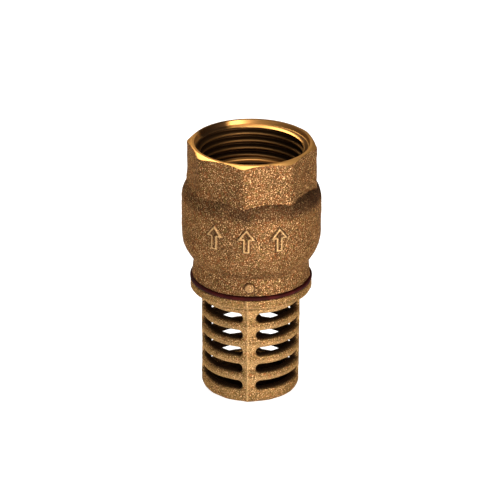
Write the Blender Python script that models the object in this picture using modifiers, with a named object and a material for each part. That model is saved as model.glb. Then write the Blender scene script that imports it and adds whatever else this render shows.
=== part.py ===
"""Foot valve for a G1 (1 inch) suction pipe: cast bronze body, screwed-in basket, spring-loaded poppet.

Metres, +Z up. The origin is the middle of the strainer's underside. The suction pipe screws in at the top.
A direction "turn" is measured about +Z from -Y, the front, so a turn of +90 degrees faces +X.
"""
import math

import bmesh
import bpy
from mathutils import Matrix, Vector

MM = 0.001
GAP = 0.3 * MM                                # clearance kept between neighbouring pieces
SEGMENTS = 40                                 # facets round a turned casting
SMALL_SEGMENTS = 24                           # facets round a small turned piece
MERGE = 0.00001                               # merge distance for points on the axis

# Overall
TOTAL_HEIGHT = 78.4 * MM
THROUGH = 1.0 * MM                            # how far a cutter runs past what it cuts

# Octagonal spanner section
OCTAGON_FLATS = 36.0 * MM                     # across flats
OCTAGON_SIDES = 8
OCTAGON_TURN = math.radians(-7.7)             # turn of one corner
OCTAGON_BOTTOM = 60.0 * MM                    # hidden in the shoulder
CORNER_RADIUS = 19.2 * MM                     # corners are rounded off to this radius
RIM_CHAMFER_RADIUS = 17.9 * MM                # outer edge of the faced rim
RIM_CHAMFER_DEPTH = 0.8 * MM

# G1 pipe thread (ISO 228), right-hand, and its shoulder
PIPE_PITCH = 2.309 * MM
PIPE_MAJOR_R = 16.62 * MM
PIPE_MINOR_R = 15.15 * MM
PIPE_MOUTH_R = 17.0 * MM                      # 45 degree lead-in at the rim
PIPE_SHOULDER_Z = 66.3 * MM
WHITWORTH_HALF_ANGLE = math.radians(27.5)

# Body outside
COLLAR_BOTTOM_Z = 36.4 * MM
COLLAR_BOTTOM_R = 17.45 * MM
COLLAR_TOP_R = 16.95 * MM
COLLAR_TOP_Z = 41.4 * MM
BULGE_ARC_R = 12.6 * MM                       # outline of the lower half of the bulge
BULGE_ARC_CENTRE = (7.95 * MM, 51.0 * MM)
BULGE_ARC_START_Z = 42.7 * MM
SHOULDER_Z = 60.5 * MM                        # the bulge starts to close here
SHOULDER_HEIGHT = 5.5 * MM
SHOULDER_STEP = 3.1 * MM
BULGE_STEPS = 6                               # facets up each half of the bulge

# Body inside
JOINT_BORE_R = 14.7 * MM                      # screwed joint with the strainer
JOINT_BORE_TOP_Z = 43.2 * MM
CHAMBER_R = 18.0 * MM
CHAMBER_BOTTOM_Z = 47.5 * MM
CHAMBER_TOP_Z = 57.0 * MM
THROAT_R = 13.5 * MM
THROAT_BOTTOM_Z = 61.5 * MM

# Guide bridge, cast in one with the body
HUB_R = 6.0 * MM
HUB_BORE_R = 4.6 * MM
HUB_BOTTOM_Z = 58.2 * MM
HUB_TOP_Z = 66.2 * MM
ARMS = 3
ARM_BOTTOM_Z = 62.1 * MM
ARM_TOP_Z = 65.6 * MM
ARM_WIDTH = 3.2 * MM
ARM_START = 5.2 * MM                          # inside the hub's wall
ARM_END = 14.4 * MM                           # inside the throat's wall

# Raised cast marks: three flow arrows and one moulder's button
MARK_RELIEF = 0.5 * MM
ARROW_HEIGHT = 7.6 * MM
ARROW_WIDTH = 5.6 * MM
ARROW_SHAFT = 2.0 * MM
ARROW_HEAD = 3.6 * MM
ARROW_MIDDLE_Z = 55.8 * MM
ARROW_TURNS = (-31.0, -4.0, 23.0)             # degrees
BUTTON_R = 1.5 * MM
BUTTON_Z = 39.2 * MM
BUTTON_TURN = -1.5                            # degrees

# Strainer basket
BASKET_TOP_R = 14.6 * MM
BASKET_BOTTOM_R = 14.48 * MM
BASKET_EDGE_R = 2.0 * MM                      # rounding round the closed bottom
BASKET_WALL = 2.5 * MM
BASKET_EDGE_STEPS = 4
FLANGE_R = 18.0 * MM
FLANGE_BOTTOM_Z = 32.5 * MM
FLANGE_TOP_Z = 35.3 * MM
FLANGE_ROUND = 0.5 * MM
FLANGE_ROUND_STEPS = 2
SPIGOT_R = 14.4 * MM
SPIGOT_TOP_Z = 43.0 * MM
SPIGOT_RELIEF_R = 13.8 * MM
SPIGOT_RELIEF_Z = 36.4 * MM
SEAT_BORE_R = 10.5 * MM
SEAT_LIP_R = 12.0 * MM
SEAT_Z = 43.6 * MM
CAVITY_TOP_Z = 32.9 * MM
SLOT_ROWS = 5
SLOT_COLUMNS = 4
SLOT_FIRST_Z = 5.9 * MM
SLOT_SPACING = 5.5 * MM
SLOT_OUTER_HALF = 1.5 * MM                    # half height at the outside; the slots narrow inwards
SLOT_DRAFT = 0.15                             # half height lost for each unit of depth
SLOT_END_ANGLE = math.radians(31.3)           # from a slot's middle to the centre of its round end
SLOT_NEAR_R = 11.0 * MM                       # the cutter runs from here
SLOT_FAR_R = 15.6 * MM                        # to here
SLOT_STEPS = 6
SLOT_END_STEPS = 4
RIB_TURN = math.radians(-1.5)

# Joint gasket
GASKET_INNER_R = 14.8 * MM
GASKET_BOTTOM_Z = FLANGE_TOP_Z + 0.25 * MM
GASKET_TOP_Z = COLLAR_BOTTOM_Z - 0.25 * MM

# Poppet, drawn closed
STEM_R = 3.0 * MM
STEM_THREAD_R = 2.9 * MM
STEM_BOTTOM_Z = 34.4 * MM
STEM_TOP_Z = 66.0 * MM
STEM_CHAMFER = 0.5 * MM
STEM_COLLAR_R = 4.6 * MM
STEM_COLLAR_BOTTOM_Z = 50.2 * MM
STEM_COLLAR_TOP_Z = 50.9 * MM
POPPET_BORE_R = STEM_R + GAP
SEAL_R = 12.4 * MM
SEAL_BOTTOM_Z = SEAT_Z + GAP
SEAL_TOP_Z = 46.4 * MM
DISC_R = 13.0 * MM
DISC_BOTTOM_Z = SEAL_TOP_Z + GAP
DISC_TOP_Z = 49.2 * MM
DISC_BOSS_R = 5.6 * MM
DISC_BOSS_TOP_Z = STEM_COLLAR_BOTTOM_Z - GAP
DISC_CHAMFER = 0.5 * MM
CLAMP_R = 9.5 * MM
CLAMP_BOTTOM_Z = 42.3 * MM
CLAMP_TOP_Z = SEAL_BOTTOM_Z - GAP
LOCK_R = 5.0 * MM
LOCK_TOP_Z = CLAMP_BOTTOM_Z - GAP
LOCK_BOTTOM_Z = 41.0 * MM
LOCK_SPLIT = 0.9 * MM
LOCK_SLANT = math.radians(25.0)                # of the split
NUT_FLATS = 10.0 * MM
NUT_SIDES = 6
NUT_TOP_Z = LOCK_BOTTOM_Z - GAP
NUT_BOTTOM_Z = 35.8 * MM
NUT_CHAMFER = 0.6 * MM

# Guide bush
BUSH_BORE_R = STEM_R + GAP
BUSH_R = HUB_BORE_R - GAP
BUSH_FLANGE_R = 5.6 * MM
BUSH_FLANGE_TOP_Z = HUB_BOTTOM_Z - GAP
BUSH_FLANGE_BOTTOM_Z = 57.2 * MM
BUSH_TOP_Z = 65.7 * MM

# Return spring and the washer that it pushes on
SPRING_MEAN_R = 7.6 * MM
SPRING_WIRE_R = 0.4 * MM
SPRING_COILS = 5.0
SPRING_POINTS_PER_COIL = 12
SPRING_BOTTOM_Z = DISC_TOP_Z + GAP
WASHER_INNER_R = HUB_R + GAP
WASHER_OUTER_R = 8.9 * MM
WASHER_TOP_Z = ARM_BOTTOM_Z - GAP
WASHER_BOTTOM_Z = 61.3 * MM
SPRING_TOP_Z = WASHER_BOTTOM_Z - GAP


# ---- scene and helpers ----

def clear_scene():
    for obj in list(bpy.data.objects):
        bpy.data.objects.remove(obj, do_unlink=True)


def new_collection(name):
    collection = bpy.data.collections.new(name)
    bpy.context.scene.collection.children.link(collection)
    return collection


clear_scene()
PARTS = new_collection("foot_valve")
CUTTERS = new_collection("cutters")


def make_material(name, colour, roughness, metallic):
    material = bpy.data.materials.new(name)
    material.use_nodes = True
    shader = material.node_tree.nodes["Principled BSDF"]
    shader.inputs["Base Color"].default_value = (*colour, 1.0)
    shader.inputs["Roughness"].default_value = roughness
    shader.inputs["Metallic"].default_value = metallic
    return material


def add_object(name, mesh, collection):
    obj = bpy.data.objects.new(name, mesh)
    collection.objects.link(obj)
    return obj


def mesh_from(bm, name):
    """Turn a bmesh into a mesh whose faces all point out."""
    bmesh.ops.recalc_face_normals(bm, faces=bm.faces[:])
    mesh = bpy.data.meshes.new(name)
    bm.to_mesh(mesh)
    bm.free()
    return mesh


def evaluated_bmesh(obj):
    """The object's mesh with its modifiers applied. The object itself is removed."""
    graph = bpy.context.evaluated_depsgraph_get()
    mesh = bpy.data.meshes.new_from_object(obj.evaluated_get(graph))
    bm = bmesh.new()
    bm.from_mesh(mesh)
    bpy.data.meshes.remove(mesh)
    bpy.data.objects.remove(obj, do_unlink=True)
    return bm


def screwed(profile, closed, segments, pitch=0.0, turns=1):
    """Sweep a list of (radius, height) points round Z, as a ring or, with a pitch, as a helix."""
    mesh = bpy.data.meshes.new("profile")
    edges = [(i, i + 1) for i in range(len(profile) - 1)]
    if closed:
        edges.append((len(profile) - 1, 0))
    mesh.from_pydata([(r, 0.0, z) for r, z in profile], edges, [])
    obj = add_object("profile", mesh, CUTTERS)
    screw = obj.modifiers.new("Screw", "SCREW")
    screw.axis = "Z"
    screw.angle = math.tau
    screw.steps = segments
    screw.render_steps = segments
    screw.screw_offset = pitch
    screw.iterations = turns
    screw.use_merge_vertices = pitch == 0.0
    screw.merge_threshold = MERGE
    return evaluated_bmesh(obj)


def turned_mesh(name, profile, closed=False, segments=SEGMENTS, turn=0.0):
    """A turned solid. An open profile starts and ends on the axis; a closed one makes a ring."""
    bm = screwed(profile, closed, segments)
    bmesh.ops.remove_doubles(bm, verts=bm.verts[:], dist=MERGE)
    if turn:
        bmesh.ops.rotate(bm, verts=bm.verts[:], matrix=Matrix.Rotation(turn, 3, "Z"))
    return mesh_from(bm, name)


def ring_profile(inner_r, outer_r, bottom_z, top_z, chamfer=0.0):
    """Outline of a plain ring, with its two outer edges chamfered."""
    outline = [(inner_r, top_z), (outer_r - chamfer, top_z)]
    if chamfer:
        outline += [(outer_r, top_z - chamfer), (outer_r, bottom_z + chamfer)]
    outline += [(outer_r - chamfer, bottom_z), (inner_r, bottom_z)]
    if not chamfer:
        outline[1:3] = [(outer_r, top_z), (outer_r, bottom_z)]
    return outline


def cutter(name, mesh):
    obj = add_object(name, mesh, CUTTERS)
    obj.hide_render = True
    obj.display_type = "WIRE"
    return obj


def boolean(obj, tool, operation):
    modifier = obj.modifiers.new(f"{operation.lower()} {tool.name}", "BOOLEAN")
    modifier.object = tool
    modifier.operation = operation
    modifier.solver = "EXACT"


def shade(mesh, degrees=32.0):
    mesh.shade_smooth()
    mesh.set_sharp_from_angle(angle=math.radians(degrees))


def add_part(name, mesh, material):
    mesh.materials.append(material)
    shade(mesh)
    return add_object(name, mesh, PARTS)


def arc_points(centre, radius, start_degrees, end_degrees, steps):
    """Points along an arc, angles measured from +R towards +Z."""
    points = []
    for i in range(steps + 1):
        angle = math.radians(start_degrees + (end_degrees - start_degrees) * i / steps)
        points.append((centre[0] + radius * math.cos(angle), centre[1] + radius * math.sin(angle)))
    return points


# ---- colours ----

CAST_BRONZE = (0.50, 0.30, 0.14)
TURNED_BRASS = (0.72, 0.50, 0.22)
STAINLESS = (0.60, 0.60, 0.58)
BASKET_BRONZE = (0.48, 0.29, 0.13)
RED_FIBRE = (0.16, 0.02, 0.02)
BLACK_RUBBER = (0.02, 0.02, 0.02)
IVORY_PLASTIC = (0.80, 0.78, 0.70)


# ---- valve body ----

def bulge_radius(z):
    """Outside radius on the lower half of the bulge."""
    return BULGE_ARC_CENTRE[0] + math.sqrt(BULGE_ARC_R ** 2 - (z - BULGE_ARC_CENTRE[1]) ** 2)


def shoulder_points(steps):
    """The bulge closes over its shoulder in a quarter of an ellipse, listed from the top down."""
    inner = BULGE_ARC_CENTRE[0] + BULGE_ARC_R - SHOULDER_STEP
    points = []
    for i in range(steps + 1):
        angle = math.pi / 2 * (1 - i / steps)
        height = SHOULDER_Z + SHOULDER_HEIGHT * math.sin(angle)
        points.append((inner + SHOULDER_STEP * math.cos(angle), height))
    return points


def body_outside_profile():
    top = SHOULDER_Z + SHOULDER_HEIGHT
    start = math.degrees(math.asin((BULGE_ARC_START_Z - BULGE_ARC_CENTRE[1]) / BULGE_ARC_R))
    profile = [(0.0, top)]
    profile += shoulder_points(BULGE_STEPS)
    profile += arc_points(BULGE_ARC_CENTRE, BULGE_ARC_R, 0.0, start, BULGE_STEPS)
    profile += [(COLLAR_TOP_R, COLLAR_TOP_Z), (COLLAR_BOTTOM_R, COLLAR_BOTTOM_Z), (0.0, COLLAR_BOTTOM_Z)]
    return profile


def spanner_section():
    """Octagonal prism whose corners and rim are turned down."""
    bm = bmesh.new()
    corner = OCTAGON_FLATS / 2 / math.cos(math.pi / OCTAGON_SIDES)
    height = TOTAL_HEIGHT - OCTAGON_BOTTOM
    bmesh.ops.create_cone(
        bm, cap_ends=True, segments=OCTAGON_SIDES, radius1=corner, radius2=corner, depth=height
    )
    place = Matrix.Translation((0, 0, OCTAGON_BOTTOM + height / 2)) @ Matrix.Rotation(OCTAGON_TURN, 4, "Z")
    bmesh.ops.transform(bm, matrix=place, verts=bm.verts[:])
    prism = cutter("spanner_section", mesh_from(bm, "spanner_section"))
    limit = [
        (0.0, TOTAL_HEIGHT),
        (RIM_CHAMFER_RADIUS, TOTAL_HEIGHT),
        (CORNER_RADIUS, TOTAL_HEIGHT - RIM_CHAMFER_DEPTH),
        (CORNER_RADIUS, OCTAGON_BOTTOM - THROUGH),
        (0.0, OCTAGON_BOTTOM - THROUGH),
    ]
    half_facet = math.pi / (2 * SEGMENTS)
    limit_mesh = turned_mesh("spanner_limit", limit, segments=2 * SEGMENTS, turn=OCTAGON_TURN + half_facet)
    boolean(prism, cutter("spanner_limit", limit_mesh), "INTERSECT")
    return prism


def body_bore():
    """Everything that is bored or cored out of the body along its axis."""
    lead_in = PIPE_MOUTH_R - PIPE_MINOR_R
    profile = [
        (0.0, TOTAL_HEIGHT + THROUGH),
        (PIPE_MOUTH_R + THROUGH, TOTAL_HEIGHT + THROUGH),
        (PIPE_MINOR_R, TOTAL_HEIGHT - lead_in),
        (PIPE_MINOR_R, PIPE_SHOULDER_Z),
        (THROAT_R, PIPE_SHOULDER_Z),
        (THROAT_R, THROAT_BOTTOM_Z),
        (CHAMBER_R, CHAMBER_TOP_Z),
        (CHAMBER_R, CHAMBER_BOTTOM_Z),
        (JOINT_BORE_R, JOINT_BORE_TOP_Z),
        (JOINT_BORE_R, COLLAR_BOTTOM_Z - THROUGH),
        (0.0, COLLAR_BOTTOM_Z - THROUGH),
    ]
    return cutter("body_bore", turned_mesh("body_bore", profile))


def pipe_thread():
    """Helical groove of the female pipe thread, run out past the rim."""
    inner_r = PIPE_MINOR_R - GAP
    root_half = PIPE_PITCH / 12
    mouth_half = root_half + (PIPE_MAJOR_R - inner_r) * math.tan(WHITWORTH_HALF_ANGLE)
    start_z = PIPE_SHOULDER_Z + mouth_half + GAP
    turns = math.ceil((TOTAL_HEIGHT + THROUGH - start_z) / PIPE_PITCH)
    profile = [
        (inner_r, start_z + mouth_half),
        (PIPE_MAJOR_R, start_z + root_half),
        (PIPE_MAJOR_R, start_z - root_half),
        (inner_r, start_z - mouth_half),
    ]
    bm = screwed(profile, True, SEGMENTS, PIPE_PITCH, turns)
    bmesh.ops.holes_fill(bm, edges=[e for e in bm.edges if e.is_boundary], sides=len(profile))
    return cutter("pipe_thread", mesh_from(bm, "pipe_thread"))


def guide_bridge():
    """Bored hub on three arms across the throat."""
    hub = ring_profile(HUB_BORE_R, HUB_R, HUB_BOTTOM_Z, HUB_TOP_Z)
    bridge = cutter("guide_bridge", turned_mesh("guide_bridge", hub, closed=True, segments=SMALL_SEGMENTS))
    for i in range(ARMS):
        bm = bmesh.new()
        bmesh.ops.create_cube(bm, size=1.0)
        size = Matrix.Diagonal((ARM_WIDTH, ARM_END - ARM_START, ARM_TOP_Z - ARM_BOTTOM_Z, 1.0))
        middle = Matrix.Translation((0, (ARM_START + ARM_END) / 2, (ARM_TOP_Z + ARM_BOTTOM_Z) / 2))
        turn = Matrix.Rotation(math.tau * i / ARMS, 4, "Z")
        bmesh.ops.transform(bm, matrix=turn @ middle @ size, verts=bm.verts[:])
        boolean(bridge, cutter(f"bridge_arm_{i + 1}", mesh_from(bm, "bridge_arm")), "UNION")
    return bridge


def extruded_outline(name, outline, near_y, far_y):
    """A flat outline in X and Z, made solid between two distances in front of the axis."""
    curve = bpy.data.curves.new(name, "CURVE")
    curve.dimensions = "2D"
    curve.fill_mode = "BOTH"
    curve.extrude = (far_y - near_y) / 2
    spline = curve.splines.new("POLY")
    spline.points.add(len(outline) - 1)
    for point, (x, z) in zip(spline.points, outline):
        point.co = (x, z, 0.0, 1.0)
    spline.use_cyclic_u = True
    obj = bpy.data.objects.new(name, curve)
    CUTTERS.objects.link(obj)
    bm = evaluated_bmesh(obj)
    bmesh.ops.remove_doubles(bm, verts=bm.verts[:], dist=MERGE)
    stand = Matrix.Translation((0, -(near_y + far_y) / 2, 0)) @ Matrix.Rotation(math.pi / 2, 4, "X")
    bmesh.ops.transform(bm, matrix=stand, verts=bm.verts[:])
    return bm


def arrow_outline():
    half, shaft = ARROW_WIDTH / 2, ARROW_SHAFT / 2
    tip = ARROW_MIDDLE_Z + ARROW_HEIGHT / 2
    neck, foot = tip - ARROW_HEAD, tip - ARROW_HEIGHT
    left = [(-half, neck), (-shaft, neck), (-shaft, foot)]
    right = [(shaft, foot), (shaft, neck), (half, neck)]
    return [(0.0, tip)] + left + right


def cast_marks():
    """Three flow arrows on the bulge and a button on the collar, all of one relief."""
    bulge_r = BULGE_ARC_CENTRE[0] + BULGE_ARC_R
    marks = []
    for i, degrees in enumerate(ARROW_TURNS):
        bm = extruded_outline("arrow", arrow_outline(), bulge_r - 2 * MARK_RELIEF, bulge_r + 2 * MARK_RELIEF)
        bmesh.ops.rotate(bm, verts=bm.verts[:], matrix=Matrix.Rotation(math.radians(degrees), 3, "Z"))
        marks.append(cutter(f"flow_arrow_{i + 1}", mesh_from(bm, "flow_arrow")))
    height = ARROW_HEIGHT + 2 * THROUGH
    top, bottom = ARROW_MIDDLE_Z + height / 2, ARROW_MIDDLE_Z - height / 2
    limit_r = bulge_r + MARK_RELIEF
    profile = [(0.0, top), (limit_r, top), (limit_r, bottom), (0.0, bottom)]
    limit = cutter("arrow_limit", turned_mesh("arrow_limit", profile))
    for mark in marks:
        boolean(mark, limit, "INTERSECT")
    bm = bmesh.new()
    depth = COLLAR_BOTTOM_R - SPIGOT_R
    bmesh.ops.create_cone(
        bm, cap_ends=True, segments=SMALL_SEGMENTS // 2, radius1=BUTTON_R, radius2=BUTTON_R, depth=depth
    )
    face_r = COLLAR_BOTTOM_R + MARK_RELIEF / 2
    stand = Matrix.Translation((0, depth / 2 - face_r, BUTTON_Z)) @ Matrix.Rotation(math.pi / 2, 4, "X")
    turn = Matrix.Rotation(math.radians(BUTTON_TURN), 4, "Z")
    bmesh.ops.transform(bm, matrix=turn @ stand, verts=bm.verts[:])
    marks.append(cutter("moulders_button", mesh_from(bm, "moulders_button")))
    return marks


def make_valve_body():
    material = make_material("valve_body", CAST_BRONZE, 0.45, 0.9)
    half_facet = math.pi / SEGMENTS
    outside = turned_mesh("valve_body", body_outside_profile(), turn=OCTAGON_TURN + half_facet)
    body = add_part("valve_body", outside, material)
    boolean(body, spanner_section(), "UNION")
    for mark in cast_marks():
        boolean(body, mark, "UNION")
    boolean(body, body_bore(), "DIFFERENCE")
    boolean(body, pipe_thread(), "DIFFERENCE")
    boolean(body, guide_bridge(), "UNION")


# ---- strainer basket ----

def basket_profile():
    """Outline of the basket from the middle of its floor, up the inside, over the seat and down the outside."""
    cavity_r = BASKET_TOP_R - BASKET_WALL
    flange_r = FLANGE_R - FLANGE_ROUND
    profile = [
        (0.0, BASKET_WALL),
        (cavity_r, BASKET_WALL),
        (cavity_r, CAVITY_TOP_Z - (cavity_r - SEAT_BORE_R)),
        (SEAT_BORE_R, CAVITY_TOP_Z),
        (SEAT_BORE_R, SEAT_Z),
        (SEAT_LIP_R - GAP, SEAT_Z),
        (SEAT_LIP_R, SPIGOT_TOP_Z),
        (SPIGOT_R - FLANGE_ROUND, SPIGOT_TOP_Z),
        (SPIGOT_R, SPIGOT_TOP_Z - FLANGE_ROUND),
        (SPIGOT_R, SPIGOT_RELIEF_Z + FLANGE_ROUND),
        (SPIGOT_RELIEF_R, SPIGOT_RELIEF_Z),
        (SPIGOT_RELIEF_R, FLANGE_TOP_Z),
    ]
    profile += arc_points((flange_r, FLANGE_TOP_Z - FLANGE_ROUND), FLANGE_ROUND, 90, 0, FLANGE_ROUND_STEPS)
    profile += arc_points((flange_r, FLANGE_BOTTOM_Z + FLANGE_ROUND), FLANGE_ROUND, 0, -90, FLANGE_ROUND_STEPS)
    profile += [(BASKET_TOP_R, FLANGE_BOTTOM_Z)]
    edge_centre = (BASKET_BOTTOM_R - BASKET_EDGE_R, BASKET_EDGE_R)
    profile += arc_points(edge_centre, BASKET_EDGE_R, 0, -90, BASKET_EDGE_STEPS)
    profile += [(0.0, 0.0)]
    return profile


def slot_half_height(radius):
    return SLOT_OUTER_HALF - SLOT_DRAFT * (BASKET_TOP_R - radius)


def slot_sections():
    """Cross-sections along one slot as (near angle, far angle, share of full height), round ends included."""
    near_reach = slot_half_height(SLOT_NEAR_R) / SLOT_NEAR_R
    far_reach = slot_half_height(SLOT_FAR_R) / SLOT_FAR_R
    end = []
    for i in range(SLOT_END_STEPS + 1):
        t = math.pi / 2 * i / SLOT_END_STEPS
        grow = math.sin(t)
        end.append((SLOT_END_ANGLE + near_reach * grow, SLOT_END_ANGLE + far_reach * grow, math.cos(t)))
    sections = [(-near, -far, share) for near, far, share in reversed(end)]
    for i in range(1, SLOT_STEPS):
        angle = SLOT_END_ANGLE * (2 * i / SLOT_STEPS - 1)
        sections.append((angle, angle, 1.0))
    return sections + end


def slot_cutter(bm, place):
    """Add one slot's cutter: a tapered block that follows the wall, facing +X before it is placed."""
    rings = []
    for near_angle, far_angle, share in slot_sections():
        near_half = slot_half_height(SLOT_NEAR_R) * share
        far_half = slot_half_height(SLOT_FAR_R) * share
        near = (SLOT_NEAR_R * math.cos(near_angle), SLOT_NEAR_R * math.sin(near_angle))
        far = (SLOT_FAR_R * math.cos(far_angle), SLOT_FAR_R * math.sin(far_angle))
        corners = [(*near, near_half), (*far, far_half), (*far, -far_half), (*near, -near_half)]
        rings.append([bm.verts.new(place @ Vector(corner)) for corner in corners])
    for one, two in zip(rings, rings[1:]):
        for i in range(4):
            j = (i + 1) % 4
            bm.faces.new((one[i], one[j], two[j], two[i]))


def slots():
    """All the slots as one cutter."""
    bm = bmesh.new()
    for column in range(SLOT_COLUMNS):
        angle = RIB_TURN - math.pi / 2 + math.tau * (column + 0.5) / SLOT_COLUMNS
        for row in range(SLOT_ROWS):
            lift = Matrix.Translation((0, 0, SLOT_FIRST_Z + row * SLOT_SPACING))
            slot_cutter(bm, lift @ Matrix.Rotation(angle, 4, "Z"))
    bmesh.ops.remove_doubles(bm, verts=bm.verts[:], dist=MERGE)
    return cutter("slots", mesh_from(bm, "slots"))


def make_strainer_basket():
    material = make_material("strainer_basket", BASKET_BRONZE, 0.45, 0.9)
    basket = add_part("strainer_basket", turned_mesh("strainer_basket", basket_profile()), material)
    boolean(basket, slots(), "DIFFERENCE")


def make_joint_gasket():
    material = make_material("joint_gasket", RED_FIBRE, 0.7, 0.0)
    profile = ring_profile(GASKET_INNER_R, FLANGE_R, GASKET_BOTTOM_Z, GASKET_TOP_Z)
    add_part("joint_gasket", turned_mesh("joint_gasket", profile, closed=True), material)


# ---- poppet ----

def make_guide_stem():
    material = make_material("guide_stem", TURNED_BRASS, 0.25, 1.0)
    profile = [
        (0.0, STEM_TOP_Z),
        (STEM_R - STEM_CHAMFER, STEM_TOP_Z),
        (STEM_R, STEM_TOP_Z - STEM_CHAMFER),
        (STEM_R, STEM_COLLAR_TOP_Z),
        (STEM_COLLAR_R, STEM_COLLAR_TOP_Z),
        (STEM_COLLAR_R, STEM_COLLAR_BOTTOM_Z),
        (STEM_R, STEM_COLLAR_BOTTOM_Z),
        (STEM_R, CLAMP_BOTTOM_Z),
        (STEM_THREAD_R, CLAMP_BOTTOM_Z),
        (STEM_THREAD_R, STEM_BOTTOM_Z + STEM_CHAMFER),
        (STEM_THREAD_R - STEM_CHAMFER, STEM_BOTTOM_Z),
        (0.0, STEM_BOTTOM_Z),
    ]
    add_part("guide_stem", turned_mesh("guide_stem", profile, segments=SMALL_SEGMENTS), material)


def make_valve_disc():
    material = make_material("valve_disc", TURNED_BRASS, 0.3, 1.0)
    profile = [
        (POPPET_BORE_R, DISC_BOSS_TOP_Z),
        (DISC_BOSS_R, DISC_BOSS_TOP_Z),
        (DISC_BOSS_R, DISC_TOP_Z),
        (DISC_R - DISC_CHAMFER, DISC_TOP_Z),
        (DISC_R, DISC_TOP_Z - DISC_CHAMFER),
        (DISC_R, DISC_BOTTOM_Z + DISC_CHAMFER),
        (DISC_R - DISC_CHAMFER, DISC_BOTTOM_Z),
        (POPPET_BORE_R, DISC_BOTTOM_Z),
    ]
    add_part("valve_disc", turned_mesh("valve_disc", profile, closed=True, segments=SMALL_SEGMENTS), material)


def make_seat_seal():
    material = make_material("seat_seal", BLACK_RUBBER, 0.6, 0.0)
    profile = ring_profile(POPPET_BORE_R, SEAL_R, SEAL_BOTTOM_Z, SEAL_TOP_Z, DISC_CHAMFER)
    add_part("seat_seal", turned_mesh("seat_seal", profile, closed=True, segments=SMALL_SEGMENTS), material)


def make_seal_washer():
    material = make_material("seal_washer", TURNED_BRASS, 0.3, 1.0)
    profile = ring_profile(POPPET_BORE_R, CLAMP_R, CLAMP_BOTTOM_Z, CLAMP_TOP_Z, GAP)
    add_part("seal_washer", turned_mesh("seal_washer", profile, closed=True, segments=SMALL_SEGMENTS), material)


def make_lock_washer():
    material = make_material("lock_washer", STAINLESS, 0.3, 1.0)
    profile = ring_profile(POPPET_BORE_R, LOCK_R, LOCK_BOTTOM_Z, LOCK_TOP_Z)
    mesh = turned_mesh("lock_washer", profile, closed=True, segments=SMALL_SEGMENTS)
    washer = add_part("lock_washer", mesh, material)
    bm = bmesh.new()
    bmesh.ops.create_cube(bm, size=1.0)
    size = Matrix.Diagonal((LOCK_SPLIT, LOCK_R, LOCK_R, 1.0))
    place = Matrix.Translation((0, LOCK_R, (LOCK_BOTTOM_Z + LOCK_TOP_Z) / 2))
    slant = Matrix.Rotation(LOCK_SLANT, 4, "Y")
    bmesh.ops.transform(bm, matrix=place @ slant @ size, verts=bm.verts[:])
    boolean(washer, cutter("washer_split", mesh_from(bm, "washer_split")), "DIFFERENCE")


def make_stem_nut():
    material = make_material("stem_nut", TURNED_BRASS, 0.3, 1.0)
    bm = bmesh.new()
    corner = NUT_FLATS / 2 / math.cos(math.pi / NUT_SIDES)
    height = NUT_TOP_Z - NUT_BOTTOM_Z
    bmesh.ops.create_cone(bm, cap_ends=True, segments=NUT_SIDES, radius1=corner, radius2=corner, depth=height)
    bmesh.ops.translate(bm, verts=bm.verts[:], vec=Vector((0, 0, (NUT_TOP_Z + NUT_BOTTOM_Z) / 2)))
    nut = add_part("stem_nut", mesh_from(bm, "stem_nut"), material)
    limit = ring_profile(POPPET_BORE_R, corner + GAP, NUT_BOTTOM_Z, NUT_TOP_Z, NUT_CHAMFER + GAP)
    limit_mesh = turned_mesh("nut_limit", limit, closed=True, segments=SMALL_SEGMENTS)
    boolean(nut, cutter("nut_limit", limit_mesh), "INTERSECT")


# ---- guide bush, spring and its washer ----

def make_guide_bush():
    material = make_material("guide_bush", IVORY_PLASTIC, 0.5, 0.0)
    profile = [
        (BUSH_BORE_R, BUSH_TOP_Z),
        (BUSH_R, BUSH_TOP_Z),
        (BUSH_R, BUSH_FLANGE_TOP_Z),
        (BUSH_FLANGE_R, BUSH_FLANGE_TOP_Z),
        (BUSH_FLANGE_R, BUSH_FLANGE_BOTTOM_Z),
        (BUSH_BORE_R, BUSH_FLANGE_BOTTOM_Z),
    ]
    add_part("guide_bush", turned_mesh("guide_bush", profile, closed=True, segments=SMALL_SEGMENTS), material)


def make_spring_seat_washer():
    material = make_material("spring_seat_washer", STAINLESS, 0.3, 1.0)
    profile = ring_profile(WASHER_INNER_R, WASHER_OUTER_R, WASHER_BOTTOM_Z, WASHER_TOP_Z)
    mesh = turned_mesh("spring_seat_washer", profile, closed=True, segments=SMALL_SEGMENTS)
    add_part("spring_seat_washer", mesh, material)


def spring_points():
    """Helix with one closed coil at each end."""
    low = SPRING_BOTTOM_Z + SPRING_WIRE_R
    high = SPRING_TOP_Z - SPRING_WIRE_R
    closed_rise = 2 * SPRING_WIRE_R + GAP
    count = int(SPRING_COILS * SPRING_POINTS_PER_COIL)
    points = []
    for i in range(count + 1):
        coil = i / SPRING_POINTS_PER_COIL
        if coil < 1:
            z = low + closed_rise * coil
        elif coil > SPRING_COILS - 1:
            z = high - closed_rise * (SPRING_COILS - coil)
        else:
            free = (coil - 1) / (SPRING_COILS - 2)
            z = low + closed_rise + (high - low - 2 * closed_rise) * free
        angle = math.tau * coil
        points.append((SPRING_MEAN_R * math.cos(angle), SPRING_MEAN_R * math.sin(angle), z))
    return points


def make_return_spring():
    points = spring_points()
    curve = bpy.data.curves.new("return_spring", "CURVE")
    curve.dimensions = "3D"
    curve.bevel_depth = SPRING_WIRE_R
    curve.bevel_resolution = 2
    curve.use_fill_caps = True
    spline = curve.splines.new("POLY")
    spline.points.add(len(points) - 1)
    for point, place in zip(spline.points, points):
        point.co = (*place, 1.0)
    curve.materials.append(make_material("return_spring", STAINLESS, 0.25, 1.0))
    PARTS.objects.link(bpy.data.objects.new("return_spring", curve))


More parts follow.
